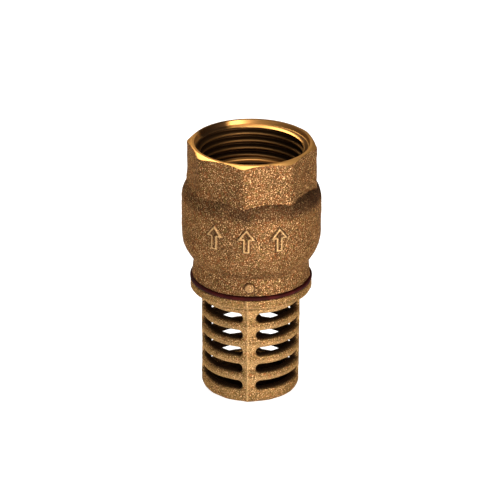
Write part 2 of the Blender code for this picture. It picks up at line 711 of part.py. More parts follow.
make_valve_body()
make_strainer_basket()
make_joint_gasket()
make_guide_stem()
make_valve_disc()
make_seat_seal()
make_seal_washer()
make_lock_washer()
make_stem_nut()
make_guide_bush()
make_spring_seat_washer()
make_return_spring()
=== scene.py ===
import math

import bmesh
import bpy
import numpy as np
from mathutils import Matrix, Vector


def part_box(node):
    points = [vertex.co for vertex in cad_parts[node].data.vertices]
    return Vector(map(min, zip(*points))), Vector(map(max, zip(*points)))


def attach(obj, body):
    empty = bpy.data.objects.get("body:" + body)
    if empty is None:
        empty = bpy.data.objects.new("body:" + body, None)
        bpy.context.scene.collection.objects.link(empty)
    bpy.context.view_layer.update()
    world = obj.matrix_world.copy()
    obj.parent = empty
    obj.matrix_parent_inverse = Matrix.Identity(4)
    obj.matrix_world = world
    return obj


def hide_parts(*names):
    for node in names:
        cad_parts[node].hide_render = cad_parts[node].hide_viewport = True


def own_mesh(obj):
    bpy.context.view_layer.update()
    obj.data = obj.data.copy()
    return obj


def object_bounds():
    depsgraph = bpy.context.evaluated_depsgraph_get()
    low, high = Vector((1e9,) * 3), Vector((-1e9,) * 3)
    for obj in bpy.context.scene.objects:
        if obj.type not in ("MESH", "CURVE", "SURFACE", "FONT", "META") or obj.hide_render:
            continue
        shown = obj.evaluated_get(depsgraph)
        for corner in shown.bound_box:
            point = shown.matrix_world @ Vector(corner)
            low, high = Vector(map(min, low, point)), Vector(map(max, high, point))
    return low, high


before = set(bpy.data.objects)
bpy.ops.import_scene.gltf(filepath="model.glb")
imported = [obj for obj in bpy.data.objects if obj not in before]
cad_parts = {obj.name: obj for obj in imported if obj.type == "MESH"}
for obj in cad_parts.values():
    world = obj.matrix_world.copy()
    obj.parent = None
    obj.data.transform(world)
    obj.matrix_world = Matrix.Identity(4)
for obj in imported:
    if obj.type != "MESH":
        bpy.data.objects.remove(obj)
cad_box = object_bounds()

# ---------------------------------------------------------------------------
# Studio. The valve stands on a table of lit white acrylic under soft boxes. The
# strongest is to the right of the camera, so that the left side falls into shade, and
# one behind the valve lights its rims. The camera looks down through a long lens.

MM = 0.001

CAMERA_DISTANCE = 1100 * MM
CAMERA_ELEVATION = math.radians(24.5)
CAMERA_ROLL = math.radians(0.4)
CAMERA_AIM = Vector((-0.36 * MM, 0.0, 43.65 * MM))
CAMERA_LENS = 267.2

aim_to_camera = Vector((0.0, -math.cos(CAMERA_ELEVATION), math.sin(CAMERA_ELEVATION)))
lens = bpy.data.cameras.new("studio_camera")
lens.lens = CAMERA_LENS
lens.clip_start = 10 * MM
camera = bpy.data.objects.new("studio_camera", lens)
camera.location = CAMERA_AIM + aim_to_camera * CAMERA_DISTANCE
look = (-aim_to_camera).to_track_quat("-Z", "Y").to_matrix()
camera.rotation_euler = (look @ Matrix.Rotation(CAMERA_ROLL, 3, "Z")).to_euler()
bpy.context.scene.collection.objects.link(camera)
bpy.context.scene.camera = camera
bpy.context.scene.view_settings.view_transform = "Standard"


def soft_box(name, azimuth, elevation, distance, width, height, power, colour=(1.0, 1.0, 1.0)):
    """A rectangular lamp aimed at the middle of the valve: degrees, metres and watts.

    Azimuth runs from the camera's side to the right.
    """
    lamp = bpy.data.lights.new(name, "AREA")
    lamp.shape = "RECTANGLE"
    lamp.size = width
    lamp.size_y = height
    lamp.energy = power
    lamp.color = colour
    a, e = math.radians(azimuth), math.radians(elevation)
    out = Vector((math.sin(a) * math.cos(e), -math.cos(a) * math.cos(e), math.sin(e)))
    obj = bpy.data.objects.new(name, lamp)
    obj.location = CAMERA_AIM + out * distance
    obj.rotation_euler = out.to_track_quat("Z", "Y").to_euler()
    bpy.context.scene.collection.objects.link(obj)


soft_box("key_box", 31, 12, 0.80, 0.24, 0.24, 7.9, (1.0, 0.93, 0.86))
soft_box("top_box", 15, 78, 1.10, 0.70, 0.70, 7.5)
soft_box("fill_box", -25, 36, 1.00, 0.90, 0.30, 2.2)
soft_box("rim_box", -145, 52, 1.00, 0.45, 0.45, 6.0, (1.0, 0.96, 0.90))

ROOM_SHADE = (0.035, 0.035, 0.037, 1.0)

world = bpy.data.worlds.new("studio_room")
world.use_nodes = True
world.node_tree.nodes["Background"].inputs["Color"].default_value = ROOM_SHADE
bpy.context.scene.world = world


class Value:
    """A socket of a finish. Sums and products of values add Math nodes to that finish."""

    def __init__(self, finish, socket):
        self.finish = finish
        self.socket = socket

    def math(self, operation, *others):
        return self.finish.node("ShaderNodeMath", {"operation": operation}, dict(enumerate((self, *others))))

    def __add__(self, other):
        return self.math("ADD", other)

    def __radd__(self, other):
        return self.math("ADD", other)

    def __sub__(self, other):
        return self.math("SUBTRACT", other)

    def __rsub__(self, other):
        return self.finish.node("ShaderNodeMath", {"operation": "SUBTRACT"}, {0: other, 1: self})

    def __mul__(self, other):
        return self.math("MULTIPLY", other)

    def __rmul__(self, other):
        return self.math("MULTIPLY", other)


class Finish:
    """A material, with one Principled shader, and the nodes that feed it."""

    def __init__(self, name, **constants):
        self.material = bpy.data.materials.new(name)
        self.material.use_nodes = True
        self.nodes = self.material.node_tree.nodes
        self.links = self.material.node_tree.links
        self.shader = self.nodes["Principled BSDF"]
        for socket, value in constants.items():
            self.socket(socket).default_value = value

    def socket(self, name):
        """The shader's socket for a name such as base_color."""
        return self.shader.inputs[name.replace("_", " ").title().replace("Ior", "IOR")]

    def node(self, kind, settings=None, sockets=None, output=0):
        """Any node, from its type, its settings and the values or links of its sockets."""
        made = self.nodes.new(kind)
        for key, setting in (settings or {}).items():
            setattr(made, key, setting)
        for key, value in (sockets or {}).items():
            self.feed(made.inputs[key], value)
        return Value(self, made.outputs[output])

    def feed(self, socket, value):
        if isinstance(value, Value):
            self.links.new(value.socket, socket)
        elif isinstance(value, tuple) and len(value) == 3 and socket.type == "RGBA":
            socket.default_value = (*value, 1.0)
        else:
            socket.default_value = value

    def place(self):
        """Position on the piece, in metres."""
        return self.node("ShaderNodeTexCoord", output="Object")

    def attribute(self, name):
        return self.node("ShaderNodeAttribute", {"attribute_name": name}, output="Fac")

    def round_the_axis(self):
        """Place as distance from the axis and height, for lathe marks that run all the way round."""
        place = self.place()
        flat = self.node("ShaderNodeVectorMath", {"operation": "MULTIPLY"}, {0: place, 1: (1.0, 1.0, 0.0)})
        reach = self.node("ShaderNodeVectorMath", {"operation": "LENGTH"}, {0: flat}, output="Value")
        height = self.node("ShaderNodeSeparateXYZ", None, {"Vector": place}, output="Z")
        return self.node("ShaderNodeCombineXYZ", None, {"X": reach, "Y": height})

    def noise(self, vector, grain, detail=2.0, roughness=0.5):
        """Random pattern from 0 to 1 with grains of about this size in metres."""
        sockets = {"Vector": vector, "Scale": 1.0 / grain, "Detail": detail, "Roughness": roughness}
        return self.node("ShaderNodeTexNoise", None, sockets)

    def step(self, value, low, high):
        """0 below low, 1 above high, smooth between."""
        settings = {"interpolation_type": "SMOOTHSTEP"}
        return self.node("ShaderNodeMapRange", settings, {"Value": value, "From Min": low, "From Max": high})

    def mix(self, factor, first, second):
        """Colour mix."""
        settings = {"data_type": "RGBA"}
        return self.node("ShaderNodeMix", settings, {0: factor, 6: first, 7: second}, output=2)

    def bump(self, height, depth):
        """Surface normal of a height of 0 to 1 that stands for this many metres."""
        return self.node("ShaderNodeBump", None, {"Height": height, "Distance": depth, "Strength": 1.0})

    def surface(self, **sockets):
        """Feed the shader what varies over the surface, and give the material."""
        for socket, value in sockets.items():
            self.feed(self.socket(socket), value)
        return self.material


TABLE_HALF = 3.0
TABLE_Z = cad_box[0][2]
ACRYLIC = ((0.50, 0.50, 0.50), (0.53, 0.53, 0.53))
ACRYLIC_GLOW = ((0.97, 0.97, 0.97), (1.0, 1.0, 1.0))


def table_finish():
    finish = Finish("table_acrylic", roughness=0.9, emission_strength=0.85)
    shade = finish.noise(finish.place(), 60 * MM, 1.0)
    glow = finish.mix(shade, *ACRYLIC_GLOW)
    return finish.surface(base_color=finish.mix(shade, *ACRYLIC), emission_color=glow)


table_mesh = bpy.data.meshes.new("table")
table_corners = [(x * TABLE_HALF, y * TABLE_HALF, TABLE_Z) for x, y in ((-1, -1), (1, -1), (1, 1), (-1, 1))]
table_mesh.from_pydata(table_corners, [], [(0, 1, 2, 3)])
table_mesh.materials.append(table_finish())
table = bpy.data.objects.new("table", table_mesh)
bpy.context.scene.collection.objects.link(table)

# ---------------------------------------------------------------------------
# Valve body. A sand-cast bronze shell: collar, bulged chamber and octagonal spanner
# section. The rim, its chamfers, the pipe thread and the lower joint thread are
# machined after casting. Three flow arrows and a moulder's button are cast raised.

BODY_LOW, BODY_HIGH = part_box("valve_body")
BODY_BOTTOM_Z = BODY_LOW[2]
BODY_TOP_Z = BODY_HIGH[2]

FRONT_COLUMNS = 190                           # columns over the marked front
BACK_COLUMNS = 240
FRONT_REACH = 45.0                            # degrees each side of the front

COLLAR_R = 17.45 * MM
COLLAR_DRAFT = 0.1                            # radius lost for each unit of height
COLLAR_BLEND = 0.7 * MM
COLLAR_RINGS = (14.9, 15.3, 16.0, 16.7)       # millimetres, across its flat underside
FOOT_ROUND_R = 0.3 * MM
BELLY_Z = 51.0 * MM                           # the belly is widest here
BELLY_ARC_R = 12.6 * MM
BELLY_ARC_CENTRE = 7.95 * MM                  # from the axis to the middle of that arc
SHOULDER_Z = 60.5 * MM
SHOULDER_RISE = 5.5 * MM
SHOULDER_TOP_R = 17.47 * MM
SHOULDER_WIDTH = 3.1 * MM
BODY_SKIN = ((0.045, 5.0, 1), (0.022, 1.5, 2), (0.014, 0.8, 3))   # height and wavelength in mm, seed

FLATS_LOW_Z = 61.0 * MM
FLATS_BLEND = 0.22 * MM                       # how softly the flats leave the shoulder
FLATS_BLEND_LEFT = 0.8 * MM                   # added on the left side
OCTAGON_FLAT = 18.0 * MM                      # from the axis to a flat
OCTAGON_TURN = math.radians(-7.7 + 22.5)      # direction of one flat's middle
OCTAGON_SHARPNESS = 48.0                      # as-cast corners: higher is sharper
CHAMFER_EDGE_R = 17.9 * MM
CHAMFER_DEPTH = 0.8 * MM
CHAMFER_STEP = 1.3 * MM

MOUTH_R = 17.0 * MM
MOUTH_SLOPE = 0.32                            # the lead-in's width for each unit of its depth
MOUTH_DEPTH = 1.15 * MM                       # where the lead-in ends in a steeper step
MOUTH_STEP_SLOPE = 2.5
PIPE_PITCH = 2.309 * MM
PIPE_MINOR_R = 15.15 * MM
PIPE_MAJOR_R = 16.62 * MM
PIPE_CREST_Z = 67.7 * MM                      # height of a crest at the back
RIM_RINGS = (17.6, 17.3, 17.0)                # millimetres, across the flat rim
RIM_SHADE_TURN = math.radians(226)
RIM_SHADE_REACH = math.radians(30)

JOINT_PITCH = 1.5 * MM
JOINT_MINOR_R = 14.0 * MM                     # the basket's thread; the body's is looser
JOINT_DEPTH = 0.75 * MM
JOINT_PLAY = 0.1 * MM
JOINT_CREST_Z = 40.0 * MM
JOINT_TOP_Z = 43.1 * MM

MARK_RELIEF = 0.62 * MM
MARK_SLOPE = 0.30 * MM
MARK_SINK = 0.34 * MM                         # the middle of an arrow is lower than its edge
ARROW_TURNS = [math.radians(d) for d in (-31.0, -4.0, 23.0)]
ARROW_WALL_R = 20.55 * MM                     # radius of the wall they stand on
ARROW_TIP_Z = 59.6 * MM
ARROW_NECK_Z = 56.0 * MM
ARROW_FOOT_Z = 52.0 * MM
ARROW_HALF = 2.8 * MM
ARROW_SHAFT_HALF = 1.0 * MM
BUTTON_TURN = math.radians(-1.5)
BUTTON_WALL_R = 17.2 * MM
BUTTON_Z = 39.2 * MM
BUTTON_R = 1.5 * MM

RED_BRONZE = (0.26, 0.075, 0.020)
OLIVE_BRONZE = (0.17, 0.115, 0.030)
TARNISH = (0.075, 0.050, 0.022)
PIT_SHADE = (0.018, 0.010, 0.006)
PAINTED_GLINT = (0.88, 0.53, 0.25)                    # painted glints on small grains
# Golden tone of painted highlights on lips, ridges and raised marks
HIGHLIGHT_BRONZE = (0.72, 0.45, 0.20)
CUT_BRONZE = ((0.78, 0.36, 0.095), (0.90, 0.47, 0.14))
# Near-black tone of painted shade in hollows, insides and creases
PAINTED_SHADE_TONE = (0.020, 0.009, 0.005)
BODY_TONES = ((0.112, 0.051, 0.018), (0.186, 0.083, 0.029))


def ease(x):
    x = np.clip(x, 0.0, 1.0)
    return x * x * (3 - 2 * x)


def bell(x, middle, width):
    """1 at the middle, fading to nothing about two widths from it."""
    return np.exp(-((x - middle) / width) ** 2)


def smooth_max(a, b, blend):
    return (a + b + np.sqrt((a - b) ** 2 + blend ** 2)) / 2


def turn_from(line, turn):
    """Angle from a line on the wall, between minus and plus half a turn."""
    return (turn - line + math.pi) % math.tau - math.pi


def turned_points(radius, turn, z):
    return np.stack([radius * np.sin(turn), -radius * np.cos(turn), z], axis=-1)


def heights(start, *runs):
    """Rows of heights from start through each run of (end, step). Takes millimetres, gives metres."""
    rows = []
    for end, step in runs:
        count = max(1, round(abs(end - start) / step))
        rows += list(np.linspace(start, end, count, endpoint=False))
        start = end
    return np.array(rows + [start])[:, None] * MM


def flat_rows(radii, z, turn):
    """Rows of a flat face at one height, with radii in millimetres."""
    radius = np.array(radii)[:, None] * MM + 0 * turn
    return radius, z + 0 * radius


def swell(points, wave, seed, waves=20):
    """Random unevenness of about unit size with this wavelength, the same on each run."""
    source = np.random.default_rng(seed)
    total = np.zeros(points.shape[:-1])
    for _ in range(waves):
        direction = source.normal(size=3)
        direction *= math.tau / wave * source.uniform(0.6, 1.5) / np.linalg.norm(direction)
        total += np.sin(points @ direction + source.uniform(0, math.tau))
    return total / math.sqrt(waves / 2)


def cast_skin(points, waves):
    """Unevenness left by the sand."""
    return sum(height * swell(points, wave * MM, seed) for height, wave, seed in waves) * MM


def helix_profile(turn, z, pitch, crest_z):
    """0 at a thread's crest line, 1 at its root. A right-hand thread climbs as it turns to the right."""
    phase = (z - crest_z) / pitch - (turn - math.pi) / math.tau
    climb = 1 - np.abs(2 * (phase % 1.0) - 1)
    return ease((climb - 0.06) / 0.88)


def octagon_radius(turn):
    """Octagon with rounded corners, as a radius for each direction."""
    total = 0.0
    for i in range(8):
        toward = np.maximum(np.cos(turn - OCTAGON_TURN - i * math.pi / 4), 0.0)
        total = total + toward ** OCTAGON_SHARPNESS
    return OCTAGON_FLAT / total ** (1 / OCTAGON_SHARPNESS)


def shoulder_radius(z):
    rise = np.clip((z - SHOULDER_Z) / SHOULDER_RISE, 0.0, 1.0)
    return SHOULDER_TOP_R + SHOULDER_WIDTH * np.sqrt(1 - rise ** 2)


def body_outside(turn, z):
    """Outside radius of the plain casting: collar, belly, shoulder and octagon."""
    collar = COLLAR_R - COLLAR_DRAFT * (z - BODY_BOTTOM_Z)
    belly = BELLY_ARC_CENTRE + np.sqrt(np.maximum(BELLY_ARC_R ** 2 - (z - BELLY_Z) ** 2, 0.0))
    round_part = np.where(z < BELLY_Z, smooth_max(collar, belly, COLLAR_BLEND), shoulder_radius(z))
    flats = np.where(z > FLATS_LOW_Z, octagon_radius(turn), 0.0)
    left = ease((-np.sin(turn) - 0.13) / 0.2) * ease((70.0 * MM - z) / (4.0 * MM))
    blended = smooth_max(round_part, flats, FLATS_BLEND + FLATS_BLEND_LEFT * left)
    return np.where(z > FLATS_LOW_Z, blended, round_part)


def outline_distance(x, y, outline):
    """Distance of points from a closed outline, negative inside it."""
    nearest = np.full(x.shape, 1e9)
    inside = np.zeros(x.shape, bool)
    for (ax, ay), (bx, by) in zip(outline, outline[1:] + outline[:1]):
        ex, ey = bx - ax, by - ay
        along = np.clip(((x - ax) * ex + (y - ay) * ey) / (ex * ex + ey * ey), 0.0, 1.0)
        nearest = np.minimum(nearest, np.hypot(x - ax - along * ex, y - ay - along * ey))
        crosses = (ay > y) != (by > y)
        inside ^= crosses & (x < ax + (y - ay) * ex / (ey if ey else 1e-9))
    return np.where(inside, -nearest, nearest)


def cast_marks(turn, z):
    """Millimetres from the edge of the nearest arrow or the button, negative inside it."""
    arrow = [(0.0, ARROW_TIP_Z), (-ARROW_HALF, ARROW_NECK_Z), (-ARROW_SHAFT_HALF, ARROW_NECK_Z)]
    arrow += [(-ARROW_SHAFT_HALF, ARROW_FOOT_Z), (ARROW_SHAFT_HALF, ARROW_FOOT_Z)]
    arrow += [(ARROW_SHAFT_HALF, ARROW_NECK_Z), (ARROW_HALF, ARROW_NECK_Z)]
    distance = np.hypot(BUTTON_WALL_R * turn_from(BUTTON_TURN, turn), z - BUTTON_Z) - BUTTON_R
    for line in ARROW_TURNS:
        across = ARROW_WALL_R * turn_from(line, turn)
        distance = np.minimum(distance, outline_distance(across + 0 * z, z + 0 * turn, arrow))
    return distance / MM


def shoulder_painted_shade(turn, z):
    """Painted shade on the upper side of the shoulder, where the flats rise out of it, heavier to the right
    and just left of the front.
    """
    under = ease((shoulder_radius(z) - octagon_radius(turn)) / (0.5 * MM) + 0.5)
    heavier = 0.50 + 0.30 * np.sin(turn) + 0.25 * bell(turn, -0.11, 0.16)
    return heavier * ease((z - 60.0 * MM) / (3.0 * MM)) * under * ease((67.0 * MM - z) / (1.0 * MM))


# The stretches of the body's skin, from body_wall to collar_face, each give radius, height,
# and from 0 to 1 how far the skin is machined, darkened by painted shade and lightened by painted highlight.


def body_wall(turn):
    """The cast outside with its marks, from the rounded foot up to the chamfer."""
    z = heights(BODY_BOTTOM_Z / MM, (37.5, 0.25), (41.0, 0.22), (51.0, 0.35), (60.4, 0.2),
                (64.2, 0.3), (66.4, 0.1), (77.2, 0.35), (78.4, 0.08))
    radius = body_outside(turn, z)
    rough = cast_skin(turned_points(radius, turn, z + 0 * turn), BODY_SKIN)
    edge = cast_marks(turn, z)
    button = (z < BUTTON_Z + 4 * BUTTON_R) & (edge < 1.0)
    relief = MARK_RELIEF * ease(0.5 - edge * MM / MARK_SLOPE) - MARK_SINK * ease(-edge - 0.42) * ~button
    radius = radius + rough + relief
    chamfer = CHAMFER_EDGE_R + (BODY_TOP_Z - z) * CHAMFER_STEP / CHAMFER_DEPTH
    machined = ease((radius - chamfer) / (0.06 * MM) + 0.5)
    foot = np.clip(1 - (z - BODY_BOTTOM_Z) / FOOT_ROUND_R, 0.0, 1.0)
    radius = np.minimum(radius, chamfer) - FOOT_ROUND_R * (1 - np.sqrt(1 - foot ** 2))
    # Painted highlight on the arrows' raised rims and over the button's top; painted shade in the arrows'
    # sunk middles and round the foot of each mark.
    painted_highlight = np.where(button, 0.35 * ease((-edge - 0.1) / 0.3), bell(edge, -0.30, 0.24))
    hollow_shade = 0.55 * ease((-edge - 0.5) / 0.3) * ~button + 0.55 * bell(edge, 0.16, 0.16)
    return radius, z, machined, np.maximum(shoulder_painted_shade(turn, z), hollow_shade), painted_highlight


def rim_painted_shade(turn):
    """Painted shade on the rim and lead-in, at the back on the left."""
    return ease((RIM_SHADE_REACH - np.abs(turn - RIM_SHADE_TURN)) / math.radians(14))


def body_rim(turn):
    """The flat faced end, with painted shade over the back."""
    radius, z = flat_rows(RIM_RINGS, BODY_TOP_Z, turn)
    return radius, z, 1.0, np.maximum(rim_painted_shade(turn), 0.65 * ease(0.3 - np.cos(turn))), 0.0


def pipe_thread(turn):
    """Lead-in and thread. Painted shade darkens the roots, and the crests further down; the lead-in is a
    fixed amount darker.
    """
    z = heights(78.34, (66.8, 0.12))
    fade = ease((z / MM - 66.7) / 1.0)
    depth = (PIPE_MAJOR_R - PIPE_MINOR_R) * helix_profile(turn, z, PIPE_PITCH, PIPE_CREST_Z) * fade
    below = np.maximum(BODY_TOP_Z - MOUTH_DEPTH - z, 0.0)
    mouth = MOUTH_R - (BODY_TOP_Z - z - below) * MOUTH_SLOPE - below * MOUTH_STEP_SLOPE
    lead_in = ease((mouth - PIPE_MINOR_R - depth) / (0.08 * MM) + 0.5) * (below == 0)
    crest_painted_shade = 0.82 - 0.67 * ease((z - 75.2 * MM) / (1.4 * MM))
    thread_painted_shade = crest_painted_shade + (1 - crest_painted_shade) * ease(depth / (0.35 * MM))
    dark = np.maximum(0.48 * lead_in + (1 - lead_in) * thread_painted_shade,
                      rim_painted_shade(turn) * ease((z - 76.0 * MM) / (1.0 * MM)))
    return np.maximum(PIPE_MINOR_R + depth, mouth), z, 1.0, dark, 0.0


def body_inside(turn):
    """Shoulder under the pipe thread, throat and chamber, as (radius, height) in millimetres."""
    profile = [(15.15, 66.45), (15.0, 66.3), (14.3, 66.3), (13.65, 66.3), (13.5, 66.15)]
    profile += [(13.5, z) for z in (65.0, 63.5, 62.0, 61.5)]
    profile += [(13.5 + 4.5 * ease(i / 5), 61.5 - 4.5 * i / 5) for i in range(1, 6)]
    profile += [(18.0, z) for z in (55.0, 53.0, 51.0, 49.0, 47.5)]
    profile += [(16.6, 45.6), (15.0, 43.6), (14.9, 43.3)]
    radius, z = (np.array(column)[:, None] * MM for column in zip(*profile))
    cast = (z < 61.6 * MM) & (z > 43.5 * MM)
    # Painted shade over the whole inside, lighter where the shoulder meets the thread.
    edge = ease((z - 66.0 * MM) / (0.2 * MM)) * ease((radius - 14.0 * MM) / (0.5 * MM))
    sand = swell(turned_points(radius + 0 * turn, turn, z + 0 * turn), 4 * MM, 3)
    return radius + cast * 0.05 * MM * sand, z, np.where(cast, 0.0, 1.0), 1 - 0.7 * edge, 0.0


def joint_thread(turn):
    """Female thread for the basket's spigot."""
    z = heights(JOINT_TOP_Z / MM, (BODY_BOTTOM_Z / MM + 0.3, 0.27))
    fade = ease((JOINT_TOP_Z - z) / (0.8 * MM))
    thread = JOINT_DEPTH * (1 - helix_profile(turn, z, JOINT_PITCH, JOINT_CREST_Z)) * fade
    # Painted shade inside the joint thread.
    return JOINT_MINOR_R + JOINT_PLAY + thread, z, 1.0, 0.8, 0.0


def collar_face(turn):
    """Flat underside that presses on the gasket."""
    # Painted shade under the collar, where it meets the gasket.
    return *flat_rows(COLLAR_RINGS, BODY_BOTTOM_Z, turn), 1.0, 0.5, 0.0


def stacked(stretches):
    """One array each of radius, height and masks from stretches whose values may be plain numbers."""
    return [np.concatenate(part) for part in zip(*(np.broadcast_arrays(*s) for s in stretches))]


def grid_faces(rows, columns, closed=True, full_turn=True):
    """Quads between rows and columns of points, with the last row or column joined to the first."""
    row = np.arange(rows if closed else rows - 1)[:, None]
    column = np.arange(columns if full_turn else columns - 1)[None, :]
    here, above = row * columns, (row + 1) % rows * columns
    beside = (column + 1) % columns
    return np.stack([here + column, here + beside, above + beside, above + column], axis=-1).reshape(-1, 4)


def add_masks(mesh, masks):
    """Named values for each point, for the finish to read."""
    for mask, values in masks.items():
        layer = mesh.attributes.new(mask, "FLOAT", "POINT")
        layer.data.foreach_set("value", np.ascontiguousarray(values, np.float32).ravel())


def grid_mesh(name, radius, turn, z, masks=None, closed=True, full_turn=True):
    """Mesh of rows and columns round the axis."""
    points = turned_points(radius, turn, z).reshape(-1, 3)
    quads = grid_faces(*radius.shape, closed, full_turn)
    mesh = bpy.data.meshes.new(name)
    mesh.vertices.add(len(points))
    mesh.vertices.foreach_set("co", points.ravel())
    mesh.loops.add(quads.size)
    mesh.loops.foreach_set("vertex_index", quads.ravel())
    mesh.polygons.add(len(quads))
    mesh.polygons.foreach_set("loop_start", np.arange(0, quads.size, 4))
    mesh.update(calc_edges=True)
    add_masks(mesh, masks or {})
    return mesh


def valve_body_mesh():
    front = np.linspace(-FRONT_REACH, FRONT_REACH, FRONT_COLUMNS, endpoint=False)
    back = np.linspace(FRONT_REACH, 360 - FRONT_REACH, BACK_COLUMNS, endpoint=False)
    turn = np.radians(np.concatenate([front, back]))[None, :]
    stretches = (body_wall, body_rim, pipe_thread, body_inside, joint_thread, collar_face)
    radius, z, machined, painted_shade, painted_highlight = stacked(
        (radius + 0 * turn, *rest) for radius, *rest in (stretch(turn) for stretch in stretches)
    )
    masks = {"machined": machined, "painted_shade": painted_shade, "painted_highlight": painted_highlight}
    return grid_mesh("valve_body_casting", radius, turn, z, masks)


def show(name, mesh, material, body, nodes, sharp=35.0):
    """Put a finished piece in the scene on its body, and hide the CAD parts that it replaces."""
    mesh.materials.append(material)
    mesh.shade_smooth()
    mesh.set_sharp_from_angle(angle=math.radians(sharp))
    piece = bpy.data.objects.new(name, mesh)
    bpy.context.scene.collection.objects.link(piece)
    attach(piece, body)
    if nodes:
        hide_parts(*nodes)
    return piece


def cast_bronze(name, tones, seed):
    """Sand-cast bronze with its grainy skin, and the same metal machined bright."""
    finish = Finish(name, metallic=0.9, specular_tint=(0.45, 0.36, 0.26, 1.0))
    terms = {0: finish.place(), 1: (seed, 0.0, 0.0)}
    shifted = finish.node("ShaderNodeVectorMath", {"operation": "ADD"}, terms)
    grain = finish.noise(shifted, 0.33 * MM, 2.0, 0.6)
    glint_specks = finish.noise(shifted, 0.32 * MM, 2.0, 0.5)
    tint = finish.noise(shifted, 0.9 * MM, 2.0)
    cloud = finish.noise(shifted, 7 * MM, 3.0, 0.6)
    tarnish = finish.step(finish.noise(shifted, 3.5 * MM, 4.0, 0.65), 0.5, 0.75)
    machined = finish.attribute("machined")
    painted_shade = finish.attribute("painted_shade")
    painted_highlight = finish.attribute("painted_highlight")

    pit = finish.step(grain, 0.52, 0.34)
    skin = finish.mix(finish.step(cloud, 0.3, 0.7), *tones)
    skin = finish.mix(finish.step(tint, 0.52, 0.70) * 0.65, skin, RED_BRONZE)
    skin = finish.mix(finish.step(tint, 0.48, 0.30) * 0.60, skin, OLIVE_BRONZE)
    skin = finish.mix(tarnish * 0.6, skin, TARNISH)
    skin = finish.mix(pit * 0.88, skin, PIT_SHADE)
    # Painted glints: small bright specks on the grain.
    skin = finish.mix(finish.step(glint_specks, 0.56, 0.67) * 0.85, skin, PAINTED_GLINT)
    # Painted highlight: lips, ridges and raised marks are lightened towards a golden tone.
    skin = finish.mix(painted_highlight * 0.65, skin, HIGHLIGHT_BRONZE)
    lathe = finish.noise(finish.round_the_axis(), 0.12 * MM, 2.0)
    colour = finish.mix(machined, skin, finish.mix(lathe, *CUT_BRONZE))
    # Painted shade: hollows, insides and creases are darkened towards near black.
    colour = finish.mix(painted_shade * 0.96, colour, PAINTED_SHADE_TONE)
    rough = (0.42 + 0.22 * grain + 0.1 * pit) * (1 - machined) + (0.32 + 0.12 * lathe) * machined
    rough = rough + 0.12 * painted_shade - 0.10 * painted_highlight
    height = grain * (1 - machined) + lathe * machined * 0.03
    return finish.surface(base_color=colour, roughness=rough, normal=finish.bump(height, 0.15 * MM))


body_bronze = cast_bronze("valve_body_bronze", BODY_TONES, 0.0)
show("valve_body_casting", valve_body_mesh(), body_bronze, "housing", ["valve_body"])

# ---------------------------------------------------------------------------
# Strainer basket. One bronze casting: closed floor, four ribs with five rows of
# slots between them, and a flange. The halves of the mould met along the front and
# back ribs and left a raised line. The spigot, its thread and the seat are turned.

BASKET_TOP_R = 14.6 * MM
BASKET_TOP_Z = 33.0 * MM                      # where the wall has run into the flange
BASKET_DRAFT = 0.004                          # radius lost for each unit of depth below that
BASKET_INNER_R = 12.1 * MM
BASKET_FOOT_ROUND = 1.9 * MM
BASKET_SKIN = ((0.035, 4.5, 11), (0.02, 1.4, 12), (0.014, 0.8, 13))
BASKET_TONES = ((0.175, 0.098, 0.034), (0.30, 0.165, 0.054))
BASKET_RIB_TURN = math.radians(-1.5)
BASKET_RIB_LINES = [math.radians(d) for d in (-3.7, 88.5, 176.3, 268.5, 356.3)]
BASKET_MOULD_LINES = (BASKET_RIB_LINES[0], BASKET_RIB_LINES[2])
ROOF_RELIEF = 0.34 * MM                       # the ridge is roof-shaped, with a fine crest
ROOF_REACH = math.radians(10.0)
CREST_RELIEF = 0.14 * MM
CREST_WIDTH = math.radians(0.9)
FLANGE_CREST_RELIEF = 0.22 * MM

SLOT_ROWS = 5
SLOT_FIRST_Z = 5.9 * MM
SLOT_SPACING = 5.5 * MM
SLOT_OUTER_HALF = 1.5 * MM
SLOT_INNER_HALF = 1.12 * MM
SLOT_REACH = math.radians(31.3)               # to the centre of a slot's round end
SLOT_WALL_R = BASKET_TOP_R - 0.08 * MM        # turns lengths along the slots into angles
SLOT_LIP = 0.50 * MM
SLOT_INNER_LIP = 0.25 * MM
WALL_DEPTH = BASKET_TOP_R - BASKET_INNER_R
WALL_LOW_Z = SLOT_FIRST_Z - SLOT_SPACING / 2
WALL_HIGH_Z = WALL_LOW_Z + SLOT_ROWS * SLOT_SPACING
CELL_STRAIGHT = 40                            # steps along a slot's straight edge
CELL_ARC = 4                                  # steps round an eighth of its outline

FLANGE_LOW_Z = 32.5 * MM
FLANGE_HIGH_Z = 35.3 * MM
FLANGE_R = 18.0 * MM
FLANGE_ROUND = 0.5 * MM
FLANGE_FILLET = 0.6 * MM
SLOT_LIP_HIGHLIGHT = 1.0                          # strength of the painted highlight on each slot's lip
RIDGE_HIGHLIGHT = 0.55
FLANGE_LIP_HIGHLIGHT = 0.5


def from_mould_line(turn):
    """Angle to the nearer mould line."""
    return np.min([np.abs(turn_from(line, turn)) for line in BASKET_MOULD_LINES], axis=0)


def ridge_line(turn):
    """1 on a mould line, fading to nothing beside it."""
    return np.exp(-from_mould_line(turn) / CREST_WIDTH)


def basket_outside(turn, z):
    """Outside radius of the slotted wall, with the ridge along each mould line."""
    roof = np.maximum(1 - from_mould_line(turn) / ROOF_REACH, 0.0)
    plain = BASKET_TOP_R - BASKET_DRAFT * (BASKET_TOP_Z - z)
    return plain + ROOF_RELIEF * roof + CREST_RELIEF * ridge_line(turn)


